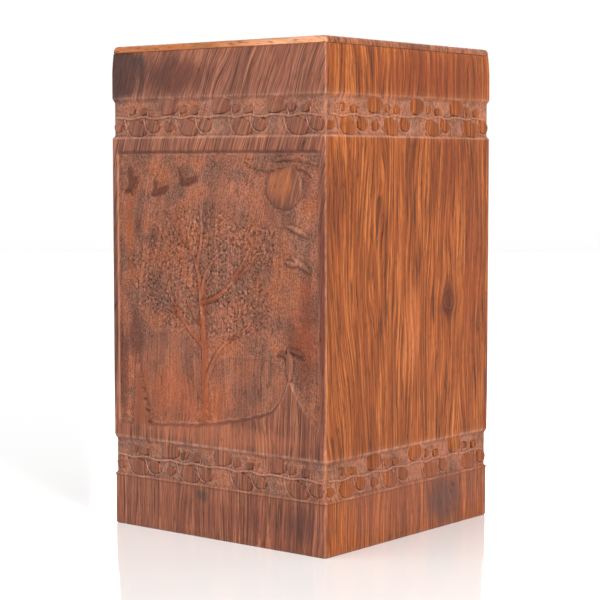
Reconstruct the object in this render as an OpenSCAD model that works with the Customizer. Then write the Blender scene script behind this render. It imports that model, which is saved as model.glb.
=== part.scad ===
// Carved wooden urn: four mitred side boards, a base board let into a ledge, and a lift-off lid.
// The box stands on its underside. The origin is the middle of that underside, with +Z up.
// The picture is on the -Y side. Every side has a band of carved leaves above and below.

/* [Box] */
// Width of the box on each of its four sides
box_w = 159; // [125:1:200]
// Height of the box with its lid on
box_h = 280; // [225:1:340]
// Thickness of the four side boards
wall_t = 12; // [9:0.5:16]
// Radius of the four upright corners
corner_r = 1.5; // [1.2:0.1:3]

/* [Lid] */
// Height of the lip that shows above the side boards
lip_h = 4; // [3:0.5:8]
// Radius worked along the top edge of the lip
lip_r = 3; // [1:0.5:6]
// Height of the plug that drops between the side boards
plug_h = 8; // [4:1:14]
// Gap between the plug and the side boards
plug_gap = 0.4; // [0.2:0.1:1]
// How far the side boards lean in at the top
lean_in = 0.65; // [0.2:0.05:1.2]
// Height over which the side boards lean in
lean_h = 12; // [6:1:20]

/* [Foot] */
// Thickness of the base board
base_t = 9; // [6:0.5:14]
// Width of the ledge that the base board is let into
ledge_w = 6; // [3:0.5:7]
// Height of the plain foot below the lower band
foot_h = 29.5; // [20:0.5:36]
// How far the foot stands back from the middle of the box
foot_back = 0.4; // [0.1:0.1:0.8]

/* [Leaf bands] */
// Height of each band
band_h = 23.4; // [18:0.2:28]
// Depth of each band's floor
band_d = 1.1; // [0.6:0.1:2]
// Height of the plain wood between the upper band and the lip
head_h = 26; // [18:0.5:34]
// Height of the slope at the top of a band
high_slope = 3; // [1:0.5:4]
// Height of the slope at the bottom of a band
low_slope = 1.8; // [1:0.2:3]
// How far the leaves and the vine stay below the face of the box
leaf_below = 0.1; // [0:0.05:0.4]
// Width of the vine along the middle of a band
vine_w = 1.2; // [0.8:0.1:2]

/* [Picture] */
// Depth of the sky
sky_d = 1.3; // [0.8:0.1:2.5]
// Plain wood between the picture and each corner
side_margin = 5.2; // [3:0.2:12]
// Plain wood between the picture and the upper band
top_margin = 7; // [4:0.5:14]

/* [Hidden] */
$fn = 48;

// Heights of the levels up the side of the box
low_band_z = foot_h;
rim_z = box_h - lip_h;
high_band_z = rim_z - head_h - band_h;
sky_low = low_band_z + band_h;
sky_top = high_band_z - top_margin;

// The picture is drawn on a field of 148 by 166 units, which are millimetres at the usual size.
field = [148, 166];
sky_w = box_w - 2 * side_margin;
unit_x = sky_w / field.x;
unit_z = (sky_top - sky_low) / field.y;
unit = min(unit_x, unit_z);

// The band's leaves are drawn for a band 23.4 units high.
leaf_unit = band_h / 23.4;
repeat_count = max(2, round(box_w / (39.75 * leaf_unit)));
repeat_w = box_w / repeat_count;

// One repeat of the band: [place along it, height above the vine, length, height, lean]
BROAD_LEAF = [20.5, -6.1, 13.4, 9.0, -14];
ROUND_LEAF = [33.8, -4.6, 10.2, 7.8, -20];
LOW_BUD = [5.5, -5.6, 6.6, 5.2, 0];
HIGH_LEAF = [5.4, 6.0, 13.2, 8.8, 0];
HIGH_BUDS = [[16.2, 4.3, 5.0, 4.4, 0], [25.4, 3.6, 6.0, 4.0, 10]];

// A leaf of the band is an egg, blunt at its root and a little narrower at its tip.
egg_sides = 16;
function egg(length, height) = [
    for (i = [0 : egg_sides - 1])
        let (a = 360 * (i + 0.5) / egg_sides)
            [length / 2 * cos(a), height / 2 * sin(a) * (1 - 0.12 * cos(a))]
];

// A curve through three points, bending towards the middle one, and its direction
function bend(p, t) = (1 - t) * (1 - t) * p[0] + 2 * t * (1 - t) * p[1] + t * t * p[2];
function heading(p, t) = (1 - t) * (p[1] - p[0]) + t * (p[2] - p[1]);
function across(v) = [-v.y, v.x] / norm(v);

// Half the width of a limb, which tapers from root to tip, and of a wing, which tapers to both
function limb_half(w, t) = (w[0] + (w[1] - w[0]) * t) / 2;
function wing_half(w, t) = 0.15 + w / 2 * sin(180 * t);

stroke_steps = 6;
function one_side(p, side, halves) = [
    for (i = [0 : stroke_steps])
        let (t = i / stroke_steps)
            bend(p, t) + side * halves[i] * across(heading(p, t))
];
function backwards(list) = [for (i = [len(list) - 1 : -1 : 0]) list[i]];
function outline(p, halves) = concat(one_side(p, 1, halves), backwards(one_side(p, -1, halves)));
function limb_halves(w) = [for (i = [0 : stroke_steps]) limb_half(w, i / stroke_steps)];
function wing_halves(w) = [for (i = [0 : stroke_steps]) wing_half(w, i / stroke_steps)];

// Limbs of the tree: [root, bend, tip, [width at the root, width at the tip]]
TRUNK = [[64.8, 10], [67.6, 49], [62.6, 82], [5.4, 3.2]];
LIMBS = [
    [[65.2, 58], [55.8, 64], [32.8, 85], [2.6, 0.9]],
    [[48.2, 68], [43.0, 75], [34.8, 79], [1.4, 0.8]],
    [[62.6, 70], [57.8, 74], [49.8, 79], [1.6, 0.8]],
    [[63.4, 80], [78.8, 83], [101.8, 110], [2.6, 0.9]],
    [[86.8, 93], [95.8, 98], [104.8, 108], [1.3, 0.8]],
    [[62.8, 80], [63.3, 104], [41.8, 119], [2.4, 0.8]],
    [[63.0, 81], [62.8, 99], [78.8, 110], [1.9, 0.8]],
    [[59.4, 104], [64.8, 113], [63.3, 134], [1.4, 0.7]],
    [[58.0, 105], [54.8, 110], [52.3, 117], [1.2, 0.7]],
    [[66.6, 36], [72.8, 57], [97.8, 66], [2.4, 0.8]]
];

// Wings and drifts of cloud: [one end, bend, other end, greatest width]
WINGS = [
    [[8.3, 157], [10.6, 150], [10.4, 141], 3.4],
    [[5.2, 142.4], [11.8, 147], [15.4, 150.6], 2.8],
    [[28.6, 150.4], [30.6, 146], [27.8, 141.4], 2.4],
    [[25.8, 141.6], [30.8, 141.4], [39, 145.8], 2.2],
    [[47.2, 156.8], [51, 150], [51.8, 147.6], 1.8],
    [[47.6, 147.6], [54.8, 147.4], [61, 151], 2.2],
    [[125, 125.4], [132.6, 123.4], [140, 119.4], 2.6],
    [[124.8, 106], [129, 104], [133, 104.6], 2.4],
    [[128.8, 108.4], [134, 105.4], [142, 100.2], 2.6],
    [[119.2, 54.2], [123.2, 57.8], [127, 52], 2.2],
    [[126.6, 58], [132.8, 57.8], [138, 54.2], 2.2]
];
CLOUDS = [
    [[97.6, 158], [112.6, 152.4], [126.2, 155.8], 2.6],
    [[116.6, 160.8], [131.8, 163.4], [146, 158.6], 2.4],
    [[132.8, 156.8], [139.8, 156.4], [143.8, 151.2], 2]
];
EAGLE_BODY = [[126.8, 59.4], [127.8, 50], [127.4, 40], 5];
MOON = [123.4, 146.6];
MOON_R = 12.6;

// The ground rises slowly to the foot of the crag, and the crag has a hollow slope on both sides.
GROUND_LOW = 8;
CRAG_FOOT = [113.8, 22];
CRAG_LEFT = [CRAG_FOOT, [122.8, 28.5], [126.2, 41]];
CRAG_RIGHT = [[129.4, 41], [133.6, 30], [148, 17]];
ground_steps = 8;
slope_steps = 5;
function ground_z(x) = GROUND_LOW + (CRAG_FOOT.y - GROUND_LOW) * pow(x / CRAG_FOOT.x, 2.4);
function slope(p) = [for (i = [0 : slope_steps]) bend(p, i / slope_steps)];
function ground_line() = concat(
    [for (i = [0 : ground_steps - 1]) let (x = CRAG_FOOT.x * i / ground_steps) [x, ground_z(x)]],
    slope(CRAG_LEFT),
    slope(CRAG_RIGHT)
);

// The pine leans a little, with short boughs on its left and long ones on its right.
PINE_TIP = [13.2, 48.4];
PINE_FOOT_Z = 4;
pine_tiers = 6;
function pine_side(reach, lean) = [
    for (i = [1 : pine_tiers])
        let (t = i / pine_tiers, drop = (PINE_TIP.y - PINE_FOOT_Z) * t)
            each [
                [PINE_TIP.x + reach * t + lean * t, PINE_TIP.y - drop],
                [PINE_TIP.x + reach * t * 0.72 + lean * t, PINE_TIP.y - drop - 0.8]
            ]
];
function pine_line() = concat([PINE_TIP], pine_side(12.5, 1.2), backwards(pine_side(-5.2, 1.2)));

// Places a drawing of the field's units on the front face, in millimetres
function on_face(points) = [
    for (p = points) [(p.x - field.x / 2) * unit_x, sky_low + p.y * unit_z]
];

module field_shape(points) {
    polygon(on_face(points));
}

module limb(b) {
    field_shape(outline([b[0], b[1], b[2]], limb_halves(b[3])));
}

module wing(b) {
    field_shape(outline([b[0], b[1], b[2]], wing_halves(b[3])));
}

module moon() {
    translate(on_face([MOON])[0])
        circle(r = MOON_R * unit);
}

module raised_picture() {
    limb(TRUNK);
    for (b = LIMBS)
        limb(b);
    for (b = WINGS)
        wing(b);
    for (b = CLOUDS)
        wing(b);
    wing(EAGLE_BODY);
    moon();
    field_shape(pine_line());
}

// The sky reaches from the ground up to the picture's top edge.
module sky_area() {
    field_shape(concat(ground_line(), [[field.x, field.y], [0, field.y]]));
}

// Turns a drawing of the front face, x along it and y up it, into a block from depth to depth.
// Depth is measured in from the face, and the front face looks towards -Y.
module carve(from, to) {
    translate([0, to - box_w / 2, 0])
        rotate([90, 0, 0])
            linear_extrude(height = to - from)
                children();
}

module leaf(place, repeat) {
    x = place[0] * repeat_w / 39.75 + repeat * repeat_w - box_w / 2;
    translate([x, place[1] * leaf_unit])
        rotate(place[4])
            polygon(egg(place[2] * leaf_unit, place[3] * leaf_unit));
}

// The vine waves once under each high leaf and once between two of them.
vine_steps = 10;
function vine_y(i) = 0.55 * leaf_unit * sin(720 * i / vine_steps);
module vine() {
    count = vine_steps * repeat_count;
    step = repeat_w / vine_steps;
    xs = [for (i = [1 : count - 1]) [i * step - box_w / 2, vine_y(i)]];
    top = [for (p = xs) p + [0, vine_w / 2]];
    bottom = [for (p = xs) p - [0, vine_w / 2]];
    polygon(concat(top, backwards(bottom)));
}

module band_leaves() {
    vine();
    for (k = [0 : repeat_count - 1]) {
        leaf(BROAD_LEAF, k);
        leaf(ROUND_LEAF, k);
        for (bud = HIGH_BUDS)
            leaf(bud, k);
        if (k < 2) leaf(LOW_BUD, k);
        if (k > 0) leaf(HIGH_LEAF, k);
    }
}

// Outline of a side board seen from its end: [depth in from the face, height]
function band_profile(z) = [
    [0, z], [band_d, z + low_slope], [band_d, z + band_h - high_slope], [0, z + band_h]
];
function board_profile() = concat(
    [[ledge_w, 0], [foot_back, 0], [foot_back, low_band_z - foot_back]],
    band_profile(low_band_z),
    band_profile(high_band_z),
    [[0, rim_z - lean_h], [lean_in, rim_z], [wall_t, rim_z], [wall_t, base_t], [ledge_w, base_t]]
);

module rounded_square(w, r) {
    square([w, w - 2 * r], center = true);
    square([w - 2 * r, w], center = true);
    for (x = [-1, 1], y = [-1, 1])
        translate([x, y] * (w / 2 - r))
            circle(r = r);
}

// One side's share of the box seen from above, cut along the two mitres
module mitred_plan() {
    inner = box_w / 2 - wall_t;
    intersection() {
        rounded_square(box_w, corner_r);
        polygon([[-box_w, -box_w], [box_w, -box_w], [inner, -inner], [-inner, -inner]]);
    }
}

module board() {
    intersection() {
        linear_extrude(height = rim_z)
            mitred_plan();
        union() {
            translate([-box_w / 2, -box_w / 2, 0])
                rotate([90, 0, 90])
                    linear_extrude(height = box_w)
                        polygon(board_profile());
            for (z = [low_band_z, high_band_z])
                carve(leaf_below, band_d + 0.5)
                    translate([0, z + band_h / 2])
                        band_leaves();
        }
    }
}

module front_board() {
    color("#9c6049")
        difference() {
            board();
            carve(-1, sky_d)
                difference() {
                    sky_area();
                    raised_picture();
                }
        }
}

module right_board() {
    color("#b06f45")
        rotate(90)
            board();
}

module back_board() {
    color("#a4654a")
        rotate(180)
            board();
}

module left_board() {
    color("#96593c")
        rotate(270)
            board();
}

// The lip seen from one side, with its top edge rounded
module lip_profile() {
    w = box_w - 2 * lean_in;
    r = min(lip_r, lip_h - 0.5);
    translate([-w / 2, 0])
        square([w, lip_h - r]);
    translate([r - w / 2, 0])
        square([w - 2 * r, lip_h]);
    for (x = [-1, 1])
        translate([x * (w / 2 - r), lip_h - r])
            circle(r = r);
}

module lid() {
    plug_w = box_w - 2 * (wall_t + plug_gap);
    color("#c98f66") {
        intersection() {
            for (turn = [0, 90])
                rotate(turn)
                    translate([0, box_w / 2, rim_z])
                        rotate([90, 0, 0])
                            linear_extrude(height = box_w)
                                lip_profile();
            translate([0, 0, rim_z])
                linear_extrude(height = lip_h)
                    rounded_square(box_w - 2 * lean_in, corner_r);
        }
        translate([-plug_w / 2, -plug_w / 2, rim_z - plug_h])
            cube([plug_w, plug_w, plug_h + 0.5]);
    }
}

module base_board() {
    w = box_w - 2 * ledge_w;
    color("#8a5238")
        translate([-w / 2, -w / 2, 0])
            cube([w, w, base_t]);
}

front_board();
right_board();
back_board();
left_board();
lid();
base_board();
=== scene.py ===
# %% [markdown]
# # A carved rosewood urn box
#
# The object is a box 28 cm high, joined from four upright boards, a base and a lift-off lid.
# Two bands of leaves run round it, and its front has a picture carved in low relief.
# This lesson builds the carved surfaces and the wood around the fixed model of the boards.
#
# We start from that model. It gives the true size, and all the carving is fitted to it.

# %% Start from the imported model
import math

import bmesh
import bpy
import numpy as np
from mathutils import Matrix, Vector


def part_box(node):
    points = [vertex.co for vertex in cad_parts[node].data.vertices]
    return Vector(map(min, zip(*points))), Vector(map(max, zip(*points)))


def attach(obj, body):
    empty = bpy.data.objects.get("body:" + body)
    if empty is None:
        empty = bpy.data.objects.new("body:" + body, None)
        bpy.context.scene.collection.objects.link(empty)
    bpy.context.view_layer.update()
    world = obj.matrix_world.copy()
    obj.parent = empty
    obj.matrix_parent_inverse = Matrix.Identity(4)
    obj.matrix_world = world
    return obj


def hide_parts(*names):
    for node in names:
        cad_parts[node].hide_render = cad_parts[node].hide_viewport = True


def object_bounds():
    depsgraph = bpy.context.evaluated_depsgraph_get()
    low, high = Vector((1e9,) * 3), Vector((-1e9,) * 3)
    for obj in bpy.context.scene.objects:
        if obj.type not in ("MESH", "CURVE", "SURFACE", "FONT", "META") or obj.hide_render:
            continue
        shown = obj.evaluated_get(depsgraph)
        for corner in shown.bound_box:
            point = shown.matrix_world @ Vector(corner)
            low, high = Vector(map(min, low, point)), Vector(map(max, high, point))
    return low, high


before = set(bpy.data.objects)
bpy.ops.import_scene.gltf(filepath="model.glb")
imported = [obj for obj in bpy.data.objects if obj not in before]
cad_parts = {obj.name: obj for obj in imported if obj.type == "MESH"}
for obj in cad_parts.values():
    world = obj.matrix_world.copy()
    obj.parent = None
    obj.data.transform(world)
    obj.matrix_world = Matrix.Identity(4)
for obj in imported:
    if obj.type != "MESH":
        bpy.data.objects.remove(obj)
model_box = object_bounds()

MM = 0.001
front_low, front_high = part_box("front_board")
lid_low, lid_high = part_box("lid")
base_low, base_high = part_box("base_board")

WIDTH = (model_box[1].x - model_box[0].x) / MM
HEIGHT = (model_box[1].z - model_box[0].z) / MM
RIM = front_high.z / MM
HALF = WIDTH / 2
WALL = (front_high.y - front_low.y) / MM
BASE = base_high.z / MM
LEDGE = (base_low.y - front_low.y) / MM
print(f"box {WIDTH:.1f} mm wide and {HEIGHT:.1f} mm high")
print(f"side boards up to {RIM:.1f} mm, {WALL:.1f} mm thick")

# %% [markdown]
# ## Levels up the side
#
# A carver first marks the levels with a gauge: a plain foot, a sunk band, the body, a second
# band and a plain head. All later cells take their places from these few values, in millimetres.

# %% The levels, in millimetres
FOOT = 29.5
BAND = 23.4
HEAD = 26.0
TOP_MARGIN = 7.0

LOW_BAND = FOOT
HIGH_BAND = RIM - HEAD - BAND
SKY_LOW = LOW_BAND + BAND
SKY_TOP = HIGH_BAND - TOP_MARGIN
print(f"bands at {LOW_BAND:.1f} and {HIGH_BAND:.1f} mm, picture from {SKY_LOW:.1f} to {SKY_TOP:.1f} mm")

# %% [markdown]
# ## Numbers that look hand made
#
# Two helpers shape every surface. `ease` is the soft step of a gouge's edge. `lumps` is smooth
# noise on a lattice with a fixed seed, so that the same dents come back on each run. A third,
# `ladder`, spaces the rows and columns of a board's grid, close where the carving is fine.

# %% Soft steps and seeded lumps
LATTICE = 64


def ease(x, start, end):
    """0 before the start, 1 past the end and a soft step between them."""
    t = np.clip((x - start) / (end - start), 0.0, 1.0)
    return t * t * (3 - 2 * t)


def lumps(u, v, size, seed, stretch=1.0):
    """Smooth noise from -1 to 1 with lumps of this size, in millimetres."""
    table = np.random.default_rng(seed).uniform(-1, 1, (LATTICE, LATTICE))
    x = u / size
    y = v / (size * stretch)
    i = np.floor(x).astype(int)
    j = np.floor(y).astype(int)
    fx = x - i
    fy = y - j
    fx = fx * fx * (3 - 2 * fx)
    fy = fy * fy * (3 - 2 * fy)
    corner = [[table[(i + a) % LATTICE, (j + b) % LATTICE] for b in (0, 1)] for a in (0, 1)]
    low = corner[0][0] * (1 - fx) + corner[1][0] * fx
    high = corner[0][1] * (1 - fx) + corner[1][1] * fx
    return low * (1 - fy) + high * fy


def ladder(*stops):
    """Values from the first stop on, each stretch (end, pitch) cut into equal steps."""
    values = [stops[0]]
    for end, pitch in stops[1:]:
        count = max(1, round((end - values[-1]) / pitch))
        values += list(np.linspace(values[-1], end, count + 1)[1:])
    return np.array(values)


print(f"a quarter of the way along, a soft step has risen to {ease(0.25, 0, 1):.2f}")

# %% [markdown]
# ## The profile of a side
#
# Seen from its end, a side board is a moulding: foot, band, body, band, head. The floor of each
# band is sunk on all four sides, so that the box has a waist at each band when you look at its
# outline. The head leans in a little towards the rim. One function of the height gives the depth
# for every board, in millimetres.

# %% Depth of the moulding at each height
BAND_DEPTH = 1.1
HIGH_SLOPE = 3.0
LOW_SLOPE = 1.8
FOOT_BACK = 0.4
FOOT_STEP = 0.8
LEAN_IN = 0.65
LEAN = 12.0
SOLE_ROUND = 0.4
SOLE_EASE = 0.6
RIM_ROUND = 0.3
RIM_EASE = 0.5


def in_band(v, margin=0.0):
    """1 on a band's floor and 0 outside the bands."""
    inside = 0.0
    for z in (LOW_BAND, HIGH_BAND):
        rise = ease(v, z + margin, z + margin + LOW_SLOPE)
        fall = ease(v, z + BAND - HIGH_SLOPE - margin, z + BAND - margin)
        inside = inside + rise * (1 - fall)
    return inside


def moulding(v):
    depth = BAND_DEPTH * in_band(v)
    depth = depth + FOOT_BACK * (1 - ease(v, FOOT - FOOT_STEP, FOOT))
    depth = depth + LEAN_IN * np.clip((v - RIM + LEAN) / LEAN, 0, 1) ** 1.5
    depth = depth + SOLE_ROUND * (1 - ease(v, 0, SOLE_EASE))
    return depth + RIM_ROUND * ease(v, RIM - RIM_EASE, RIM)


print(f"depth on a band's floor {moulding(np.array([LOW_BAND + BAND / 2]))[0]:.2f} mm")

# %% [markdown]
# ## Where the leaves sit
#
# Each band repeats one motif along a wavy vine: a broad leaf and a round one below, an oval leaf
# and two buds above. The first two repeats have one more bud below, and the first has no oval. We
# need the places twice: here, to sink a groove round each leaf, and later in Geometry Nodes, to
# set the leaves themselves. A whole number of repeats fills the width of the box.

# %% The motif of a band
DRAWN_BAND = 23.4
DRAWN_REPEAT = 39.75
LEAF_UNIT = BAND / DRAWN_BAND
REPEATS = max(2, round(WIDTH / (DRAWN_REPEAT * LEAF_UNIT)))
REPEAT = WIDTH / REPEATS
GROOVE_WIDTH = 0.75
GROOVE_DEPTH = 0.35
# name: (place along, height above the vine, length, height, lean in degrees, first and last repeat)
LEAVES = {
    "broad": (20.5, -6.1, 13.4, 9.0, -14, 0, REPEATS),
    "round": (33.2, -4.6, 9.6, 7.8, -20, 0, REPEATS),
    "low_bud": (5.5, -5.6, 6.6, 5.2, 0, 0, 2),
    "oval": (5.4, 6.0, 13.2, 8.8, 0, 1, REPEATS),
    "bud": (16.2, 4.3, 5.0, 4.4, 0, 0, REPEATS),
    "side_bud": (25.4, 3.6, 6.0, 4.0, 10, 0, REPEATS),
}


def leaf_places(kind):
    along, up, _, _, _, first, last = LEAVES[kind]
    for k in range(first, last):
        yield along * REPEAT / DRAWN_REPEAT + k * REPEAT, up * LEAF_UNIT


def leaf_grooves(u, v, outline=1.04):
    """Depth of the groove that outlines each leaf on the bands' floors."""
    groove = np.zeros_like(u)
    for z in (LOW_BAND, HIGH_BAND):
        for kind, (_, _, length, height, lean, _, _) in LEAVES.items():
            turn = math.radians(lean)
            for x, y in leaf_places(kind):
                du = u - x
                dv = v - (z + BAND / 2 + y)
                along = (du * math.cos(turn) + dv * math.sin(turn)) / (length / 2)
                across = (dv * math.cos(turn) - du * math.sin(turn)) / (height / 2)
                q = np.hypot(along, across)
                ring = np.exp(-(((q - outline) * height / 2 / GROOVE_WIDTH) ** 2))
                groove = np.maximum(groove, GROOVE_DEPTH * ring)
    return groove


print(f"{REPEATS} repeats of {REPEAT:.2f} mm on each side")

# %% [markdown]
# ## The picture
#
# The picture is drawn on a field of 148 by 166 units. Limbs, wings and clouds are strokes that
# bend from a start to an end, drawn towards a point between them. A limb tapers from its root, and
# a wing or a cloud is wide in the middle. A stroke is easy to edit and needs no long outline, and
# the same few points serve the model of the boards.
#
# Three dark birds fly at the upper left and a pale pair at the right. Below the pair, a small
# figure made of sprigs stands on the crag.

# %% Strokes of the picture
FIELD = (148.0, 166.0)
# Trunk and limbs: (start, bend, end, width at the root, width at the tip)
TRUNK = ((64.8, 10), (67.6, 49), (62.6, 84), 5.0, 3.0)
LIMBS = [
    ((65.6, 56), (58.8, 60), (49.4, 70), 3.0, 2.0),
    ((49.4, 70), (44.0, 78), (36.8, 87), 2.0, 1.0),
    ((47.2, 72), (43.0, 75), (36.8, 77), 1.5, 0.9),
    ((62.8, 69), (59.8, 70), (56.2, 76), 1.9, 1.3),
    ((56.2, 76), (54.4, 79), (49.8, 80), 1.3, 0.9),
    ((63.4, 81), (77.8, 82), (88.8, 97), 3.0, 2.0),
    ((88.8, 97), (94.8, 104), (100.2, 114), 2.0, 1.0),
    ((85.8, 94), (95.8, 98), (103.8, 109), 1.8, 0.9),
    ((62.8, 82), (63.0, 101), (53.8, 112), 2.4, 1.7),
    ((53.8, 112), (48.8, 116), (42.4, 125), 1.7, 0.9),
    ((63.0, 82), (63.8, 99), (76.8, 109), 2.0, 1.1),
    ((60.0, 104), (64.8, 113), (63.3, 134), 1.6, 0.9),
    ((58.0, 106), (54.8, 112), (53.3, 121), 1.4, 0.9),
    ((66.8, 35), (71.8, 54), (84.8, 61), 2.6, 1.6),
    ((84.8, 61), (91.8, 64), (98.8, 70), 1.6, 0.9),
]
# Wings and clouds: (start, bend, end, width in the middle)
WINGS = [
    ((8.3, 157), (10.6, 150), (10.4, 141), 3.4),
    ((5.2, 142.4), (11.8, 147), (15.4, 150.6), 2.8),
    ((28.6, 150.4), (30.6, 146), (27.8, 141.4), 2.4),
    ((25.8, 141.6), (30.8, 141.4), (39, 145.8), 2.2),
    ((47.2, 156.8), (51, 150), (51.8, 147.6), 1.8),
    ((47.6, 147.6), (54.8, 147.4), (61, 151), 2.2),
    ((125, 125.4), (132.6, 123.4), (140, 119.4), 2.6),
    ((124.8, 106), (129, 104), (133, 104.6), 2.4),
    ((128.8, 108.4), (134, 105.4), (142, 100.2), 2.6),
    ((119.2, 54.2), (123.2, 57.8), (127, 52), 2.2),
    ((126.6, 58), (132.8, 57.8), (138, 54.2), 2.0),
    ((126.8, 59.4), (127.8, 50), (127.4, 40), 4.2),
]
CLOUDS = [
    ((96.0, 160.0), (110.0, 156.0), (127.4, 157.6), 5.6),
    ((116.6, 160.8), (131.8, 163.4), (146, 158.6), 2.4),
    ((132.8, 156.8), (139.8, 156.4), (143.8, 151.2), 2.0),
]
# The moon: (middle, radius). The hollows beside the trunk: (middle, half sizes)
MOON = (123.4, 146.6, 12.6)
HOLLOWS = [(37.5, 36, 25, 27), (98.5, 31, 28, 21)]
# Lines that bound the birds: the dark flock on its right and below, the pale pair on its left and below
FLOCK_RIGHT = 63.0
FLOCK_LOW = 139.0
PAIR_LEFT = 118.0
PAIR_LOW = 96.0
LIMB_FADE = 0.6
WING_END = 0.35
STROKE_POINTS = 25


def bend(a, b, c, t):
    """Points of the curve from a to c that is drawn towards b."""
    a, b, c = (np.array(p, float)[:, None] for p in (a, b, c))
    return (1 - t) ** 2 * a + 2 * t * (1 - t) * b + t * t * c


def stroke(x, z, a, b, c, half_width, fade=0.0):
    """Height from 0 to 1 of a rounded stroke; half_width is a function of 0 to 1 along it."""
    t = np.linspace(0, 1, STROKE_POINTS)
    cx, cz = bend(a, b, c, t)
    half = half_width(t)
    reach = half.max() + 0.5
    near = (x > cx.min() - reach) & (x < cx.max() + reach)
    near = near & (z > cz.min() - reach) & (z < cz.max() + reach)
    nx, nz = x[near], z[near]
    nearest = np.full(nx.shape, 9.0)
    strength = np.ones(nx.shape)
    for i in range(len(t) - 1):
        dx, dz = cx[i + 1] - cx[i], cz[i + 1] - cz[i]
        k = np.clip(((nx - cx[i]) * dx + (nz - cz[i]) * dz) / (dx * dx + dz * dz), 0, 1)
        width = half[i] + (half[i + 1] - half[i]) * k
        far = np.hypot(nx - cx[i] - k * dx, nz - cz[i] - k * dz) / width
        strength = np.where(far < nearest, 1 - fade * t[i], strength)
        nearest = np.minimum(nearest, far)
    height = np.zeros_like(x)
    height[near] = strength * np.sqrt(np.clip(1 - nearest**2, 0, 1))
    return height


def limb_height(x, z, limb):
    a, b, c, root, tip = limb
    return stroke(x, z, a, b, c, lambda t: (root + (tip - root) * t) / 2, LIMB_FADE)


def wing_height(x, z, wing):
    a, b, c, width = wing
    return stroke(x, z, a, b, c, lambda t: WING_END + width / 2 * np.sin(math.pi * t))


print(f"{len(LIMBS)} limbs, {len(WINGS)} wings and bodies, {len(CLOUDS)} clouds")

# %% [markdown]
# ## Ground, crag and pine
#
# The ground is not carved away, so it keeps the face of the board. It rises slowly to the right
# and ends in a pointed crag. On the left a pine stands on it, with short boughs on one side.

# %% Outline of the ground and the pine
GROUND_LOW = 8.0
GROUND_RISE = 2.4
CRAG_FOOT = (113.8, 22.0)
CRAG_LEFT = (CRAG_FOOT, (122.8, 28.5), (126.2, 41))
CRAG_RIGHT = ((129.4, 41), (133.6, 30), (148, 17))
PINE_TIP = (13.2, 48.4)
PINE_FOOT = 4.0
PINE_TIERS = 7
PINE_LEFT = 5.4
PINE_RIGHT = 12.8


def ground_line(x):
    slow = np.linspace(0, CRAG_FOOT[0], 30)
    rise = GROUND_LOW + (CRAG_FOOT[1] - GROUND_LOW) * (slow / CRAG_FOOT[0]) ** GROUND_RISE
    left = bend(*CRAG_LEFT, np.linspace(0, 1, 12))
    right = bend(*CRAG_RIGHT, np.linspace(0, 1, 12))
    xs = np.concatenate([slow[:-1], left[0], right[0]])
    zs = np.concatenate([rise[:-1], left[1], right[1]])
    return np.interp(x, xs, zs)


def ground_height(x, z, start=-0.7, end=0.9):
    """1 inside the ground, 0 outside, with a ragged step between these distances inside its line."""
    slope = (ground_line(x + 0.6) - ground_line(x - 0.6)) / 1.2
    ragged = 0.5 * lumps(x, z, 3.2, 41)
    inside = (ground_line(x) + ragged - z) / np.sqrt(1 + slope**2)
    return ease(inside, start, end)


def pine_height(x, z):
    """The pine widens from its tip in tiers, each with drooping points at its foot."""
    fall = (PINE_TIP[1] - z) / (PINE_TIP[1] - PINE_FOOT)
    tier = np.clip(fall, 0, 1) * PINE_TIERS
    tooth = tier - np.floor(tier)
    reach = np.clip(fall, 0, 1) * (0.74 + 0.3 * tooth**2)
    centre = PINE_TIP[0] + 1.2 * fall
    jag = 0.5 * lumps(x, z, 1.4, 43, 0.5)
    right = centre + PINE_RIGHT * reach + jag - x
    left = x - (centre - PINE_LEFT * reach + jag)
    inside = np.minimum(np.minimum(right, left), (PINE_TIP[1] - z) * 0.7)
    return ease(inside, -0.5, 0.6)


print(f"crag {CRAG_LEFT[2][1]:.0f} units high, pine {PINE_TIP[1]:.0f}")

# %% [markdown]
# ## Where the tree has foliage
#
# The crown is a cloud of leaf flecks about 2 mm long. It has no outline of its own, so its extent
# is made up of a few soft round masses that sit at the ends of the limbs.

# %% Masses of foliage
TWIG_WIDTHS = (1.0, 0.6)
# A mass: (middle, half sizes)
CROWN = [
    (60, 118, 36, 20),
    (34, 108, 22, 17),
    (15, 105, 11, 8),
    (33, 88, 24, 11),
    (25, 78, 15, 8),
    (94, 112, 27, 20),
    (97, 84, 20, 20),
    (62, 93, 42, 22),
    (86, 68, 20, 9),
    (46, 70, 13, 6),
]


def leafiness(x, z):
    """1 in the middle of the crown, falling to 0 outside it."""
    ragged = 0.16 * lumps(x, z, 7, 51) + 0.1 * lumps(x, z, 3, 52)
    dense = np.zeros_like(x)
    for cx, cz, rx, rz in CROWN:
        q = np.hypot((x - cx) / rx, (z - cz) / rz) + ragged
        dense = np.maximum(dense, 1 - ease(q, 0.6, 1.25))
    return dense


def twigs():
    """Short seeded twigs that fork from the outer two thirds of each limb."""
    rng = np.random.default_rng(7)
    found = []
    for a, b, c, _, _ in LIMBS:
        for t in np.linspace(0.35, 1.0, 4):
            x, z = bend(a, b, c, np.array([t]))[:, 0]
            heading = math.atan2(c[1] - b[1], c[0] - b[0])
            turn = heading + rng.choice([-1, 1]) * rng.uniform(0.4, 0.95)
            length = rng.uniform(4, 8)
            tip = (x + length * math.cos(turn), z + length * math.sin(turn))
            middle_x = (x + tip[0]) / 2 + rng.uniform(-1.2, 1.2)
            middle_z = (z + tip[1]) / 2 + rng.uniform(-1.2, 1.2)
            found.append(((x, z), (middle_x, middle_z), tip, *TWIG_WIDTHS))
    return found


TWIGS = twigs()
print(f"{len(TWIGS)} twigs, {len(CROWN)} masses of foliage")

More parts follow.
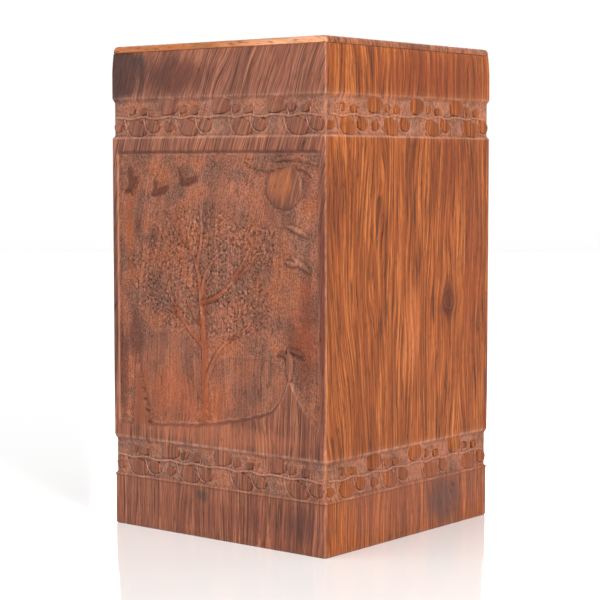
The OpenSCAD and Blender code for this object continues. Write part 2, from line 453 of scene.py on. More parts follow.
# %% [markdown]
# ## Heights of the figures
#
# Everything raised is measured up from the sunk sky, and the highest thing at a point wins. The
# trunk and the moon stand almost as high as the face of the board, and the trunk fades into the
# floor towards its foot. The moon is a shallow dome, cut back where a cloud passes in front of it.
# A thin line lies under each cloud.

# %% The tree, the birds, the moon and the clouds
SIDE_MARGIN = 5.2
TRUNK_HEIGHT = 1.2
LIMB_HEIGHT = 1.0
TWIG_HEIGHT = 0.35
WING_HEIGHT = 1.15
MOON_HEIGHT = 1.2
MOON_FALL = 0.72
CLOUD_HEIGHT = 0.5
CLOUD_LINE = 0.7
TRUNK_FADE = (16, 50)


def on_field(u, v):
    """A place on the board, in the picture's units."""
    x = (u - SIDE_MARGIN) / (WIDTH - 2 * SIDE_MARGIN) * FIELD[0]
    z = (v - SKY_LOW) / (SKY_TOP - SKY_LOW) * FIELD[1]
    return x, z


def tree_height(x, z):
    bark = 0.2 * lumps(x, z, 0.8, 61, 5.0)
    trunk = limb_height(x, z, TRUNK) * (0.3 + 0.7 * ease(z, *TRUNK_FADE))
    raised = np.maximum(0, trunk * (TRUNK_HEIGHT + bark))
    for limb in LIMBS:
        raised = np.maximum(raised, limb_height(x, z, limb) * (LIMB_HEIGHT + bark))
    return raised


def twigs_and_birds(x, z):
    raised = np.zeros_like(x)
    for twig in TWIGS:
        raised = np.maximum(raised, limb_height(x, z, twig) * TWIG_HEIGHT)
    for wing in WINGS:
        raised = np.maximum(raised, wing_height(x, z, wing) * WING_HEIGHT)
    return raised


def moon_and_clouds(x, z):
    r = np.hypot(x - MOON[0], z - MOON[1]) / MOON[2]
    moon = np.sqrt(np.clip(1 - MOON_FALL * r * r, 0, 1)) * MOON_HEIGHT * (1 - ease(r, 0.94, 1.03))
    clouds = np.zeros_like(x)
    for a, b, c, width in CLOUDS:
        cloud = wing_height(x, z, (a, b, c, width))
        line = stroke(x, z + width / 3, a, b, c, lambda t: 0.5 + 0 * t)
        moon = moon * (1 - 0.8 * ease(cloud, 0.05, 0.5))
        clouds = np.maximum(clouds, np.maximum(cloud * CLOUD_HEIGHT, line * CLOUD_LINE))
    return np.maximum(moon, clouds)


def hollows(x, z):
    """1 in the shallow hollows beside the trunk, which have ragged, squarish outlines."""
    hollow = np.zeros_like(x)
    for cx, cz, rx, rz in HOLLOWS:
        squarish = (np.abs((x - cx) / rx) ** 3 + np.abs((z - cz) / rz) ** 3) ** (1 / 3)
        hollow = np.maximum(hollow, 1 - ease(squarish + 0.06 * lumps(x, z, 9, 84), 0.96, 1.01))
    return hollow


print(f"trunk {TRUNK_HEIGHT:.1f} mm high, moon {MOON_HEIGHT:.1f}, clouds {CLOUD_HEIGHT:.1f}")

# %% [markdown]
# ## Relief of the front
#
# The sky keeps the small dents of the punch that roughened it, and a groove outlines each figure.
# The result is a depth below the face. With it come marks for the colour of the wood: `island` for
# what stands up out of the sky, `limb` for the trunk, limbs and pine, `lip` for a painted
# highlight along the sky's edge above the ground, below the top of the frame and on the pale pair,
# and `flock` for the dark birds. On and round the pale pair `flock` is less than 0, which takes
# away the dark of end grain there.

# %% Depth of the front picture
SKY_DEPTH = 1.3
OUTLINE_DEPTH = 0.75
HOLLOW_DEPTH = 0.4
DEEPEST = 2.4
WALL_STEEP = 1.3
RIGHT_LIP = 2.2
RIGHT_SLOPE = 5.2
TOP_SLOPE = 1.6


def line_at(v, level, half_width):
    """1 at this level, fading to 0 above and below it."""
    return np.exp(-(((v - level) / half_width) ** 2))


def blurred(values, times):
    """Each point becomes the mean of its neighbours, this many times over."""
    rows, cols = values.shape
    for _ in range(times):
        padded = np.pad(values, 1, mode="edge")
        values = sum(padded[i : i + rows, j : j + cols] for i in (0, 1, 2) for j in (0, 1, 2)) / 9
    return values


def sky_extent(u, v):
    """1 inside the frame of the picture. Its right wall is a wide slope, the others are steep."""
    left = ease(u, SIDE_MARGIN - 0.4, SIDE_MARGIN - 0.4 + WALL_STEEP)
    right = np.clip((WIDTH - u - RIGHT_LIP) / RIGHT_SLOPE, 0, 1)
    top = ease(SKY_TOP - v, 0, TOP_SLOPE)
    return left * right * top


def picture(u, v):
    """Depth of the picture, how much of each point is punched floor, and the marks."""
    x, z = on_field(u, v)
    sky = sky_extent(u, v)
    ground = ground_height(x, z)
    pine = pine_height(x, z)
    tree = tree_height(x, z)
    figures = np.maximum(tree, twigs_and_birds(x, z))
    flock = ease(figures, 0.3, 0.55) * (x < FLOCK_RIGHT) * (z > FLOCK_LOW)
    pair = ease(figures, 0.2, 0.7) * (x > PAIR_LEFT) * (z > PAIR_LOW)
    figures = np.maximum(figures, moon_and_clouds(x, z))
    raised = np.maximum(figures, pine * SKY_DEPTH)
    raised = np.maximum(raised, ground * SKY_DEPTH)

    crown = leafiness(x, z) * (1 - ease(raised, 0.3, 0.7))
    flecks = lumps(x, z, 1.3, 71) + 0.7 * lumps(x, z, 0.85, 72)
    foliage = crown * (0.28 * ease(flecks, 0.2, 0.8) - 0.56 * ease(-flecks, 0.3, 0.9))
    hollow = hollows(x, z)
    open_floor = (1 - ease(raised, 0.3, 0.8)) * sky
    punched = open_floor * (1 - 0.35 * hollow)
    dents = 0.1 * lumps(x, z, 1.1, 81) + 0.09 * lumps(x, z, 0.75, 82)
    waves = 0.14 * lumps(x, z, 9, 83) + HOLLOW_DEPTH * hollow
    outline = OUTLINE_DEPTH * blurred(np.clip(figures, 0, 1), 3) * (1 - ease(raised, 0.1, 0.5))
    floor = SKY_DEPTH + dents * punched + waves * open_floor + outline * sky - foliage
    depth = sky * np.clip(floor - raised, 0.0, DEEPEST)

    island = ease(raised, 0.35, 0.8) * sky * (1 - ground)
    # lip is a painted highlight: along the sky's edge above the ground, below the frame's top, on the pale
    # pair.
    ground_edge = ground_height(x, z, -2.1, -0.9)
    lip = 4 * ground_edge * (1 - ground_edge)
    lip = np.maximum(lip, line_at(v, SKY_TOP - 2.0, 0.6)) * sky * (raised < 0.3)
    lip = np.maximum(lip, 1.3 * pair)
    limbs = np.maximum(ease(tree, 0.15, 0.5), 0.5 * pine) * sky * (1 - ground)
    flock = flock - 0.8 * np.clip(2 * blurred(pair, 2), 0, 1)
    marks = {"island": island, "limb": limbs, "lip": lip, "flock": flock}
    return depth, punched * (1 - 0.25 * crown), marks


print(f"sky sunk {SKY_DEPTH:.1f} mm, outlines {OUTLINE_DEPTH:.2f} mm deeper")

# %% [markdown]
# ## Building a board
#
# A board's face is a grid of points pushed in by its depth. The first and last columns lie on the
# mitre, where depth equals the distance from the corner, so two boards meet in a closed seam. A
# few flat faces close it: the mitres, the top, the bottom and the back, which is stepped for the
# base. The whole is one closed mesh. A grid suits carving, because any depth can be cut into it.

# %% A board as one closed mesh
CORNER = 1.5
CORNER_ZONE = 3.0


def rounded_corner(distance):
    """Depth of the rounded corner at this distance from it."""
    inside = np.clip(CORNER - distance, 0, CORNER)
    return CORNER - np.sqrt(CORNER**2 - inside**2)


def face_places(columns, rows):
    """Places on the face, with those near its two ends drawn in to lie on the mitre."""
    u, v = np.meshgrid(columns, rows)
    mitre = moulding(v) + CORNER * (1 - math.sqrt(0.5))
    stretch = (CORNER_ZONE - mitre) / CORNER_ZONE
    left = u < CORNER_ZONE
    right = u > WIDTH - CORNER_ZONE
    u = np.where(left, mitre + u * stretch, u)
    u = np.where(right, WIDTH - mitre - (WIDTH - u) * stretch, u)
    return u, v, mitre[:, :1]


def grid_faces(shape):
    """The numbers of a grid's points, and the four-sided faces between them."""
    index = np.arange(shape[0] * shape[1]).reshape(shape)
    corners = [index[:-1, :-1], index[:-1, 1:], index[1:, 1:], index[1:, :-1]]
    return index, np.stack(corners, axis=-1).reshape(-1, 4)


def closed_board(name, face, shape):
    """The carved face, closed by the mitres, the ends and a back that is stepped for the base."""
    index, quads = grid_faces(shape)
    back = []
    for depth, z in ((WALL, RIM), (WALL, BASE), (LEDGE, BASE), (LEDGE, 0.0)):
        for side in (-1, 1):
            back.append((side * (HALF - depth), depth - HALF, z))
    points = np.concatenate([face, np.array(back)])
    left = [len(face) + i for i in (0, 2, 4, 6)]
    right = [len(face) + i for i in (1, 3, 5, 7)]
    caps = [
        index[:, 0].tolist() + left,
        index[:, -1].tolist() + right,
        index[-1].tolist() + [right[0], left[0]],
        index[0].tolist() + [right[3], left[3]],
    ]
    caps += [[left[i], left[i + 1], right[i + 1], right[i]] for i in range(3)]
    mesh = bpy.data.meshes.new(name)
    mesh.from_pydata((points * MM).tolist(), [], quads.tolist() + caps)
    mesh.polygons.foreach_set("use_smooth", np.arange(len(mesh.polygons)) < len(quads))
    outward = bmesh.new()
    outward.from_mesh(mesh)
    bmesh.ops.recalc_face_normals(outward, faces=outward.faces)
    outward.to_mesh(mesh)
    outward.free()
    return mesh


print(f"corners rounded to {CORNER:.1f} mm, seven flat faces close each board")

# %% [markdown]
# ## Wear, painted highlight, painted shade and end grain
#
# Handling rubs the corners pale, and a painted highlight lies on them too, on the lips of the
# bands, in rings round the leaves and on the slopes that face the key light. Painted shade darkens
# the hollows, most on their sides away from the key, and a painted highlight lightens the crests.
# Where the carving turns across the grain, the cut ends drink more oil and go dark, and a line of
# painted shade lies above the foot. All of these could be painted by hand. We measure them on the
# grid instead and store them on the points, so that the colour follows the carving whatever its
# depth.

# %% Marks on a board's points
# A pale lip, worn and with a painted highlight: (level, strength)
LEVEL_LIPS = [(HIGH_BAND + 0.7, 0.75), (HIGH_BAND + BAND - 0.3, 0.45), (SKY_LOW - 0.4, 0.85)]
FOOT_LINE = FOOT - 0.3


# Wear at the corners, plus painted highlight on corners, lips, leaf rings and slopes facing the key
def wear_and_highlight_places(u, v, edge, carved, lip, right_facing_highlight):
    wear_and_highlight = 1 - ease(edge - moulding(v), 0.35, 1.3)
    for level, strength in LEVEL_LIPS:
        wear_and_highlight = np.maximum(wear_and_highlight, strength * line_at(v, level, 0.8))
    wear_and_highlight = np.maximum(wear_and_highlight, 0.7 * ease(leaf_grooves(u, v, 1.12), 0.05, 0.3))
    wear_and_highlight = np.maximum(wear_and_highlight, 0.32 * in_band(v, 0.6))
    wear_and_highlight = np.maximum(wear_and_highlight, 0.6 * lip)
    wear_and_highlight = np.maximum(wear_and_highlight, 0.8 * right_facing_highlight * (1 - in_band(v)) * (1 - 0.5 * carved))
    return wear_and_highlight * (0.6 + 0.4 * lumps(u, v, 2.2, 91)) * (0.7 + 0.3 * lumps(u, v, 30, 92))


# Darker cut ends where the carving turns across the grain, and painted shade along a line above the foot.
def end_grain_and_shade_places(v, rows, depth, carved):
    steep = ease(np.abs(np.gradient(depth - moulding(v), rows, axis=0)), 0.35, 0.8)
    cut_ends = 1.5 * blurred(steep * (1 - 0.45 * carved) * (1 - in_band(v)), 1)
    return np.maximum(np.clip(cut_ends, 0, 1), 0.6 * line_at(v, FOOT_LINE, 0.5))


def board_mesh(name, columns, rows, relief):
    """A board's mesh as it would stand at the front, with its marks stored on its points."""
    u, v, mitre = face_places(columns, rows)
    edge = np.minimum(u, WIDTH - u)
    cut, carved, marks = relief(u, v)
    fade = ease(edge, mitre, mitre + 1.6)
    depth = moulding(v) + cut * fade + rounded_corner(edge - moulding(v))
    carved = carved * fade
    mesh = closed_board(name, np.stack([u - HALF, depth - HALF, v], axis=-1).reshape(-1, 3), u.shape)

    # Slopes that face the key light get a painted highlight.
    sideways = np.gradient(depth, columns, axis=1)
    right_facing_highlight = ease(sideways, 0.22, 0.6) * (edge > SIDE_MARGIN + 3)
    marks["wear_and_highlight"] = wear_and_highlight_places(u, v, edge, carved, marks.pop("lip", 0), right_facing_highlight)
    end_grain_and_shade = end_grain_and_shade_places(v, rows, depth, carved)
    # Painted shade in the hollows, less on walls facing the key and where cut ends are already dark;
    # below 0 it marks crests for a painted highlight.
    hollow = (depth - blurred(depth, 3)) * (1 - 0.85 * np.clip(1.6 * blurred(end_grain_and_shade, 3), 0, 1))
    lit = ease(np.gradient(blurred(depth, 1), columns, axis=1), 0.05, 0.45)
    marks["relief_shading"] = np.where(hollow > 0, hollow * (1 - 0.35 * lit), hollow)
    flock = marks.pop("flock", np.zeros_like(depth))
    marks["end_grain_and_shade"] = np.maximum(end_grain_and_shade * (1 + np.minimum(flock, 0)), flock)
    marks["carved"] = carved
    unseen = np.zeros(len(mesh.vertices) - u.size)
    for label, values in marks.items():
        data = mesh.attributes.new(label, "FLOAT", "POINT")
        data.data.foreach_set("value", np.concatenate([values.ravel(), unseen]).astype(np.float32))
    return mesh


# The lips are pale from wear and a painted highlight, and the dark line above the foot is painted shade.
print(f"{len(LEVEL_LIPS)} lips worn pale, a dark line at {FOOT_LINE:.1f} mm")

# %% [markdown]
# ## The four boards
#
# Only the front has a picture, so only it needs fine rows all the way up. The plain boards take
# fine rows in their bands and coarse ones between, which saves most of their faces.

# %% Relief of the bands, and the boards
def band_relief(u, v):
    """The bands' floors: grooves round the leaves and the dents of the punch."""
    inside = in_band(v, 0.3)
    dents = 0.12 * lumps(u, v, 1.2, 11) + 0.1 * lumps(u, v, 0.8, 12)
    waves = 0.14 * lumps(u, v, 7, 13)
    depth = inside * np.clip(dents + waves + 0.6 * leaf_grooves(u, v), -0.3, 0.6)
    return depth, inside, {}


def front_relief(u, v):
    depth, punched, marks = picture(u, v)
    band, floor, _ = band_relief(u, v)
    return depth + band, np.maximum(punched, floor), marks


def make_piece(name, mesh, node, turn=0):
    """An object for a finished mesh, turned about the box's upright axis in the mesh itself."""
    mesh.transform(Matrix.Rotation(math.radians(turn), 4, "Z"))
    piece = bpy.data.objects.new(name, mesh)
    bpy.context.scene.collection.objects.link(piece)
    if node:
        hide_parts(node)
    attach(piece, "root")
    return piece


EDGE_PITCH = 0.3
FACE_PITCH = 0.68
BAND_PITCH = 0.5
PICTURE_PITCH = 0.62
FOOT_PITCH = 3.5
BODY_PITCH = 2.4
HEAD_PITCH = 2.2
SIDES = {"front": 0, "right": 90, "back": 180, "left": 270}

columns = ladder(0, (CORNER_ZONE, EDGE_PITCH), (WIDTH - CORNER_ZONE, FACE_PITCH), (WIDTH, EDGE_PITCH))
foot_rows = (0, (SOLE_EASE, EDGE_PITCH), (FOOT - 1.2, FOOT_PITCH), (SKY_LOW + 0.6, BAND_PITCH))
band_rows = ((HIGH_BAND - 0.6, BODY_PITCH), (HIGH_BAND + BAND + 0.6, BAND_PITCH))
rim_rows = ((RIM - RIM_EASE, HEAD_PITCH), (RIM, RIM_EASE / 2))
picture_rows = ladder(*foot_rows, (SKY_TOP + 1, PICTURE_PITCH), *band_rows, *rim_rows)
plain_rows = ladder(*foot_rows, *band_rows, *rim_rows)

pieces = {}
for side, turn in SIDES.items():
    label = f"{side}_board_carved"
    if side == "front":
        mesh = board_mesh(label, columns, picture_rows, front_relief)
    else:
        mesh = board_mesh(label, columns, plain_rows, band_relief)
    pieces[side] = make_piece(label, mesh, f"{side}_board", turn)
    print(f"{label}: {sum(len(p.vertices) - 2 for p in mesh.polygons)} triangles")

# %% [markdown]
# ## The lid and the base board
#
# The lid is a flat board with a rounded lip and a plug below it. Both it and the base are stacks
# of rounded squares, so a list of (half width, corner radius, height) rings describes each one.

# %% Boards made from rounded squares
def square_ring(half, radius, z, per_corner=6):
    ring = []
    for quarter in range(4):
        cx, cy = [(1, 1), (-1, 1), (-1, -1), (1, -1)][quarter]
        for i in range(per_corner + 1):
            angle = math.pi / 2 * (quarter + i / per_corner)
            x = cx * (half - radius) + radius * math.cos(angle)
            y = cy * (half - radius) + radius * math.sin(angle)
            ring.append((x * MM, y * MM, z * MM))
    return ring


def stacked(name, rings):
    """A closed mesh through rings of (half width, corner radius, height), bottom first."""
    shape = bmesh.new()
    loops = [[shape.verts.new(p) for p in square_ring(*ring)] for ring in rings]
    for low, high in zip(loops, loops[1:]):
        for i in range(len(low)):
            j = (i + 1) % len(low)
            shape.faces.new((low[i], low[j], high[j], high[i]))
    shape.faces.new(loops[0][::-1])
    shape.faces.new(loops[-1])
    bmesh.ops.recalc_face_normals(shape, faces=shape.faces)
    for face in shape.faces:
        face.smooth = len(face.verts) == 4
    for edge in shape.edges:
        if edge.calc_face_angle(0) > math.radians(40):
            edge.smooth = False
    mesh = bpy.data.meshes.new(name)
    shape.to_mesh(mesh)
    shape.free()
    return mesh


LIP_ROUND = 3.0
LIP_STEPS = 8
LIP_BEVEL = 0.35
PLUG_PLAY = 0.4
PLUG_BEVEL = 0.6
BASE_BEVEL = 0.5

lip = lid_high.x / MM
plug_low = lid_low.z / MM
plug = HALF - WALL - PLUG_PLAY
lid_rings = [(plug - PLUG_BEVEL, 0.3, plug_low), (plug, 0.4, plug_low + PLUG_BEVEL), (plug, 0.4, RIM)]
lid_rings += [(lip - LIP_BEVEL, CORNER, RIM), (lip, CORNER, RIM + LIP_BEVEL)]
for step in range(LIP_STEPS + 1):
    angle = math.pi / 2 * step / LIP_STEPS
    inset = LIP_ROUND * (1 - math.cos(angle))
    height = HEIGHT - LIP_ROUND * (1 - math.sin(angle))
    lid_rings.append((lip - inset, max(0.5, CORNER + 0.4 - inset), height))
pieces["lid"] = make_piece("lid_board", stacked("lid_board", lid_rings), "lid")

base_half = base_high.x / MM
base_rings = [(base_half - BASE_BEVEL, 0.3, 0.0), (base_half, 0.3, BASE_BEVEL), (base_half, 0.3, BASE)]
pieces["base"] = make_piece("base_panel", stacked("base_panel", base_rings), "base_board")
print(f"lid lip {2 * lip:.1f} mm wide, plug {2 * plug:.1f} mm, base {2 * base_half:.1f} mm")

# %% [markdown]
# ## A helper for node trees
#
# Materials and Geometry Nodes are both trees of nodes. `put` adds one node and feeds its inputs:
# a socket is linked, and any other value is set. It keeps the trees below short to read.

# %% Adding nodes in one line
def put(tree, kind, feeds=None, **settings):
    made = tree.nodes.new(kind)
    for key, value in settings.items():
        setattr(made, key, value)
    for key, value in (feeds or {}).items():
        if isinstance(value, bpy.types.NodeSocket):
            tree.links.new(value, made.inputs[key])
        else:
            made.inputs[key].default_value = value
    return made


def vector_of(tree, x, y, z):
    return put(tree, "ShaderNodeCombineXYZ", {0: x, 1: y, 2: z}).outputs[0]


def parts_of(tree, vector):
    return put(tree, "ShaderNodeSeparateXYZ", {0: vector}).outputs


def linear(r, g, b):
    """A colour as mixed on a palette, 0 to 255, in the linear values that shaders use."""
    parts = [c / 255 for c in (r, g, b)]
    return tuple(c / 12.92 if c <= 0.04045 else ((c + 0.055) / 1.055) ** 2.4 for c in parts) + (1.0,)


class Sums:
    """Arithmetic in a node tree, one Math node for each step."""

    def __init__(self, tree):
        self.tree = tree

    def do(self, operation, *values):
        return put(self.tree, "ShaderNodeMath", dict(enumerate(values)), operation=operation).outputs[0]

    def times(self, a, b):
        return self.do("MULTIPLY", a, b)

    def plus(self, a, b):
        return self.do("ADD", a, b)

    def minus(self, a, b):
        return self.do("SUBTRACT", a, b)

    def soft(self, value, start, end, low=0.0, high=1.0):
        feeds = {0: value, 1: start, 2: end, 3: low, 4: high}
        return put(self.tree, "ShaderNodeMapRange", feeds, interpolation_type="SMOOTHSTEP").outputs[0]


print("a middle brown in linear values:", [round(part, 3) for part in linear(138, 82, 59)[:3]])

# %% [markdown]
# ## The figure of rosewood
#
# Rosewood has fine upright streaks, broader bands of colour, a few long dark dashes, short dark
# pores and hardly any shine of its own. All of them are noise stretched along the grain. One group
# works them out, and each board asks for its own slant, start, knot and width of streak, as if
# sawn from its own plank. Round a knot the grain parts like water round a post, which a simple
# flow formula gives. The slant begins above a height and grows with its square.

# %% The grain as a node group
SLANT_FROM = 100.0


def grain_group():
    tree = bpy.data.node_groups.new("rosewood_grain", "ShaderNodeTree")
    face = tree.interface
    face.new_socket(name="Place", in_out="INPUT", socket_type="NodeSocketVector")
    for name in ("Lean", "Start", "Wander", "Knot across", "Knot along", "Knot size", "Streak width"):
        face.new_socket(name=name, in_out="INPUT", socket_type="NodeSocketFloat")
    for name in ("Streak", "Fine", "Broad", "Wide", "Line", "Dash", "Fibre", "Pore", "Knot"):
        face.new_socket(name=name, in_out="OUTPUT", socket_type="NodeSocketFloat")
    asked = put(tree, "NodeGroupInput")
    s = Sums(tree)
    across, depth, along = parts_of(tree, asked.outputs["Place"])

    def stretched(a, wide, deep, long, start, detail=2.0, rough=0.5):
        """Noise whose lumps have this width, depth and length, in millimetres."""
        x = s.plus(s.do("DIVIDE", a, wide), start)
        spot = vector_of(tree, x, s.do("DIVIDE", depth, deep), s.do("DIVIDE", along, long))
        feeds = {"Vector": spot, "Scale": 1.0, "Detail": detail, "Roughness": rough}
        return put(tree, "ShaderNodeTexNoise", feeds, noise_dimensions="3D").outputs[0]

    start = asked.outputs["Start"]
    high = s.do("MAXIMUM", s.minus(along, SLANT_FROM), 0.0)
    slant = s.times(s.times(high, high), asked.outputs["Lean"])
    wander = s.times(s.minus(stretched(across, 48, 60, 190, start), 0.5), asked.outputs["Wander"])
    wobble = s.times(s.minus(stretched(across, 13, 30, 44, start), 0.5), 1.3)
    from_knot = s.minus(across, asked.outputs["Knot across"])
    up_knot = s.times(s.minus(along, asked.outputs["Knot along"]), 0.9)
    square = s.plus(s.times(from_knot, from_knot), s.times(up_knot, up_knot))
    size = asked.outputs["Knot size"]
    pushed = s.do("DIVIDE", s.times(from_knot, s.times(size, size)), s.plus(square, 4.0))
    line_of = s.minus(s.plus(s.plus(across, wander), wobble), s.plus(slant, pushed))

    width = asked.outputs["Streak width"]
    streak = stretched(line_of, width, 12, 70, start, 3.0, 0.6)
    fine = stretched(line_of, 0.8, 6, 28, s.plus(start, 2.0), 3.0, 0.6)
    dash = stretched(line_of, 1.3, 9, 34, s.plus(start, 21.0), 1.0)
    broad = stretched(line_of, 8.0, 26, 150, s.plus(start, 5.0), 3.0, 0.55)
    wide = stretched(line_of, 22.0, 40, 260, s.plus(start, 13.0), 2.0)
    fibre = stretched(line_of, 0.3, 2.0, 12, start, 2.0)
    pore = stretched(line_of, 0.5, 1.2, 5.5, start, 1.0)
    ring = s.plus(s.times(line_of, 0.16), s.times(broad, 3.2))
    fold = s.do("PINGPONG", ring, 0.5)
    breaks = s.soft(stretched(line_of, 3.0, 20, 70, s.plus(start, 9.0)), 0.42, 0.6)
    reach = s.do("SQRT", square)
    uneven = s.plus(reach, s.times(broad, 6.0))
    rings = s.soft(s.do("PINGPONG", s.times(uneven, 0.3), 0.5), 0.2, 0.5)
    heart = s.times(s.soft(reach, s.times(size, 1.5), s.times(size, 0.6)), rings)
    given = put(tree, "NodeGroupOutput")
    answers = {
        "Streak": streak,
        "Fine": fine,
        "Broad": broad,
        "Wide": wide,
        "Line": s.times(s.soft(fold, 0.43, 0.5), breaks),
        "Dash": s.soft(dash, 0.59, 0.68),
        "Fibre": fibre,
        "Pore": s.soft(pore, 0.6, 0.7),
        "Knot": heart,
    }
    for name, socket in answers.items():
        tree.links.new(socket, given.inputs[name])
    return tree


GRAIN = grain_group()
print(f"grain group of {len(GRAIN.nodes)} nodes")

# %% [markdown]
# ## Tones and patches
#
# A plank is never one colour. Four tones along a ramp follow its figure, and ragged ovals of other
# colour lie where the plank had them, except a few that are painted shade on the front and one that
# is a painted highlight on the lid. Each oval is worked out from the place on the board, so it
# stays put whichever way we look.

# %% Places, blends and patches on a board
def board_place(tree, across, along):
    """Object coordinates in millimetres as (across the grain, into the board, along the grain)."""
    spot = put(tree, "ShaderNodeTexCoord").outputs["Object"]
    scaled = put(tree, "ShaderNodeVectorMath", {0: spot, 1: (1 / MM,) * 3}, operation="MULTIPLY").outputs[0]
    deep = Vector(across).cross(Vector(along))
    parts = []
    for direction in (across, deep, along):
        feeds = {0: scaled, 1: tuple(direction)}
        parts.append(put(tree, "ShaderNodeVectorMath", feeds, operation="DOT_PRODUCT").outputs["Value"])
    return vector_of(tree, *parts)


def blend(tree, amount, a, b, kind="MIX"):
    feeds = {"Factor": amount, 6: a, 7: b}
    return put(tree, "ShaderNodeMix", feeds, data_type="RGBA", blend_type=kind).outputs[2]


def toned(tree, amount, tones, places):
    """Four tones along a ramp."""
    ramp = put(tree, "ShaderNodeValToRGB", {0: amount})
    stops = ramp.color_ramp.elements
    for extra in places[1:3]:
        stops.new(extra)
    for stop, at, tone in zip(stops, places, tones):
        stop.position = at
        stop.color = linear(*tone)
    return ramp.outputs[0]


def dark(tone, share):
    return linear(*[share * part for part in tone])


def patch_amount(tree, place, centre, radii, soft):
    """1 in the middle of a ragged oval on the board, 0 outside it."""
    s = Sums(tree)
    away = put(tree, "ShaderNodeVectorMath", {0: place, 1: (centre[0], 0, centre[1])}, operation="SUBTRACT")
    shrink = (1 / radii[0], 0, 1 / radii[1])
    oval = put(tree, "ShaderNodeVectorMath", {0: away.outputs[0], 1: shrink}, operation="MULTIPLY")
    far = put(tree, "ShaderNodeVectorMath", {0: oval.outputs[0]}, operation="LENGTH").outputs["Value"]
    stretch = put(tree, "ShaderNodeVectorMath", {0: place, 1: (0.16, 0.05, 0.03)}, operation="MULTIPLY")
    ragged = put(tree, "ShaderNodeTexNoise", {"Vector": stretch.outputs[0], "Scale": 1.0, "Detail": 3.0})
    edge = s.plus(far, s.times(s.minus(ragged.outputs[0], 0.5), 0.9))
    return s.soft(edge, 1.0, 1.0 - soft)


def patched(tree, place, colour, patches):
    """The colour with each patch laid on, half tint and half overlay, so the grain shows through."""
    s = Sums(tree)
    for centre, radii, tone, strength, soft in patches:
        amount = s.times(patch_amount(tree, place, centre, radii, soft), strength)
        overlay = blend(tree, 1.0, colour, linear(*tone), "OVERLAY")
        colour = blend(tree, amount, colour, blend(tree, 0.5, linear(*tone), overlay))
    return colour


print("a tone at six tenths of its strength:", [round(part, 3) for part in dark((98, 46, 14), 0.6)[:3]])

# %% [markdown]
# ## Rosewood for one board
#
# The material reads the board's own directions, mixes four tones by the streaks, and adds dark
# lines, dashes and pores. Punched floors are paler and rougher, because the oil does not close
# there. Hollows get painted shade and crests a painted highlight. Cut ends across the grain are
# darker, with painted shade along a line above the foot. Corners, lips and slopes that face the key
# light are pale, from wear and a painted highlight together. The marks on the points say where each
# of these is.

# %% The rosewood material
STEPS = (0.4, 0.47, 0.53, 0.6)
FLOOR_STEPS = (0.38, 0.48, 0.54, 0.64)
PALE_SPECK = (222, 170, 146)
DARK_SPECK = (70, 40, 32)
KNOT_HEART = (70, 36, 18)
WEAR_AND_HIGHLIGHT_TONE = (220, 172, 150)
LIMB_WOOD = (152, 74, 36)
CREST_HIGHLIGHT_TONE = (216, 160, 132)
END_GRAIN_AND_SHADE_TONE = (92, 42, 26)
PUNCH_SIZE = 1.15
BUMP_HEIGHT = 0.00024


def plank_grain(tree, feeds):
    grain = put(tree, "ShaderNodeGroup", node_tree=GRAIN)
    for key, value in feeds.items():
        if isinstance(value, bpy.types.NodeSocket):
            tree.links.new(value, grain.inputs[key])
        else:
            grain.inputs[key].default_value = value
    return grain.outputs


def figured(tree, out, tones):
    """The bare wood's colour, from its streaks, lines, dashes and knot."""
    s = Sums(tree)
    figure = s.plus(s.times(out["Streak"], 0.42), s.times(out["Broad"], 0.16))
    figure = s.plus(figure, s.times(out["Fine"], 0.42))
    colour = toned(tree, figure, tones, STEPS)
    colour = blend(tree, s.times(out["Line"], 0.35), colour, dark(tones[0], 0.6))
    colour = blend(tree, s.times(out["Dash"], 0.75), colour, dark(tones[0], 0.7))
    return blend(tree, s.times(out["Knot"], 0.5), colour, linear(*KNOT_HEART))


def punched_floor(tree, colour, place, floor, carved, cell, speck):
    """Raw, speckled wood where the floor is punched."""
    s = Sums(tree)
    cloud = put(tree, "ShaderNodeTexNoise", {"Vector": place, "Scale": 0.06, "Detail": 3.0}).outputs[0]
    colour = blend(tree, s.times(carved, 0.66), colour, toned(tree, cloud, floor, FLOOR_STEPS))
    specks = s.plus(s.times(s.soft(cell, 0.1, 0.7), 0.5), s.times(speck, 0.5))
    shade = s.times(carved, s.soft(specks, 0.2, 0.8, -0.19, 0.16))
    colour = blend(tree, s.do("MAXIMUM", shade, 0.0), colour, linear(*PALE_SPECK))
    return blend(tree, s.do("MAXIMUM", s.times(shade, -1.4), 0.0), colour, linear(*DARK_SPECK))


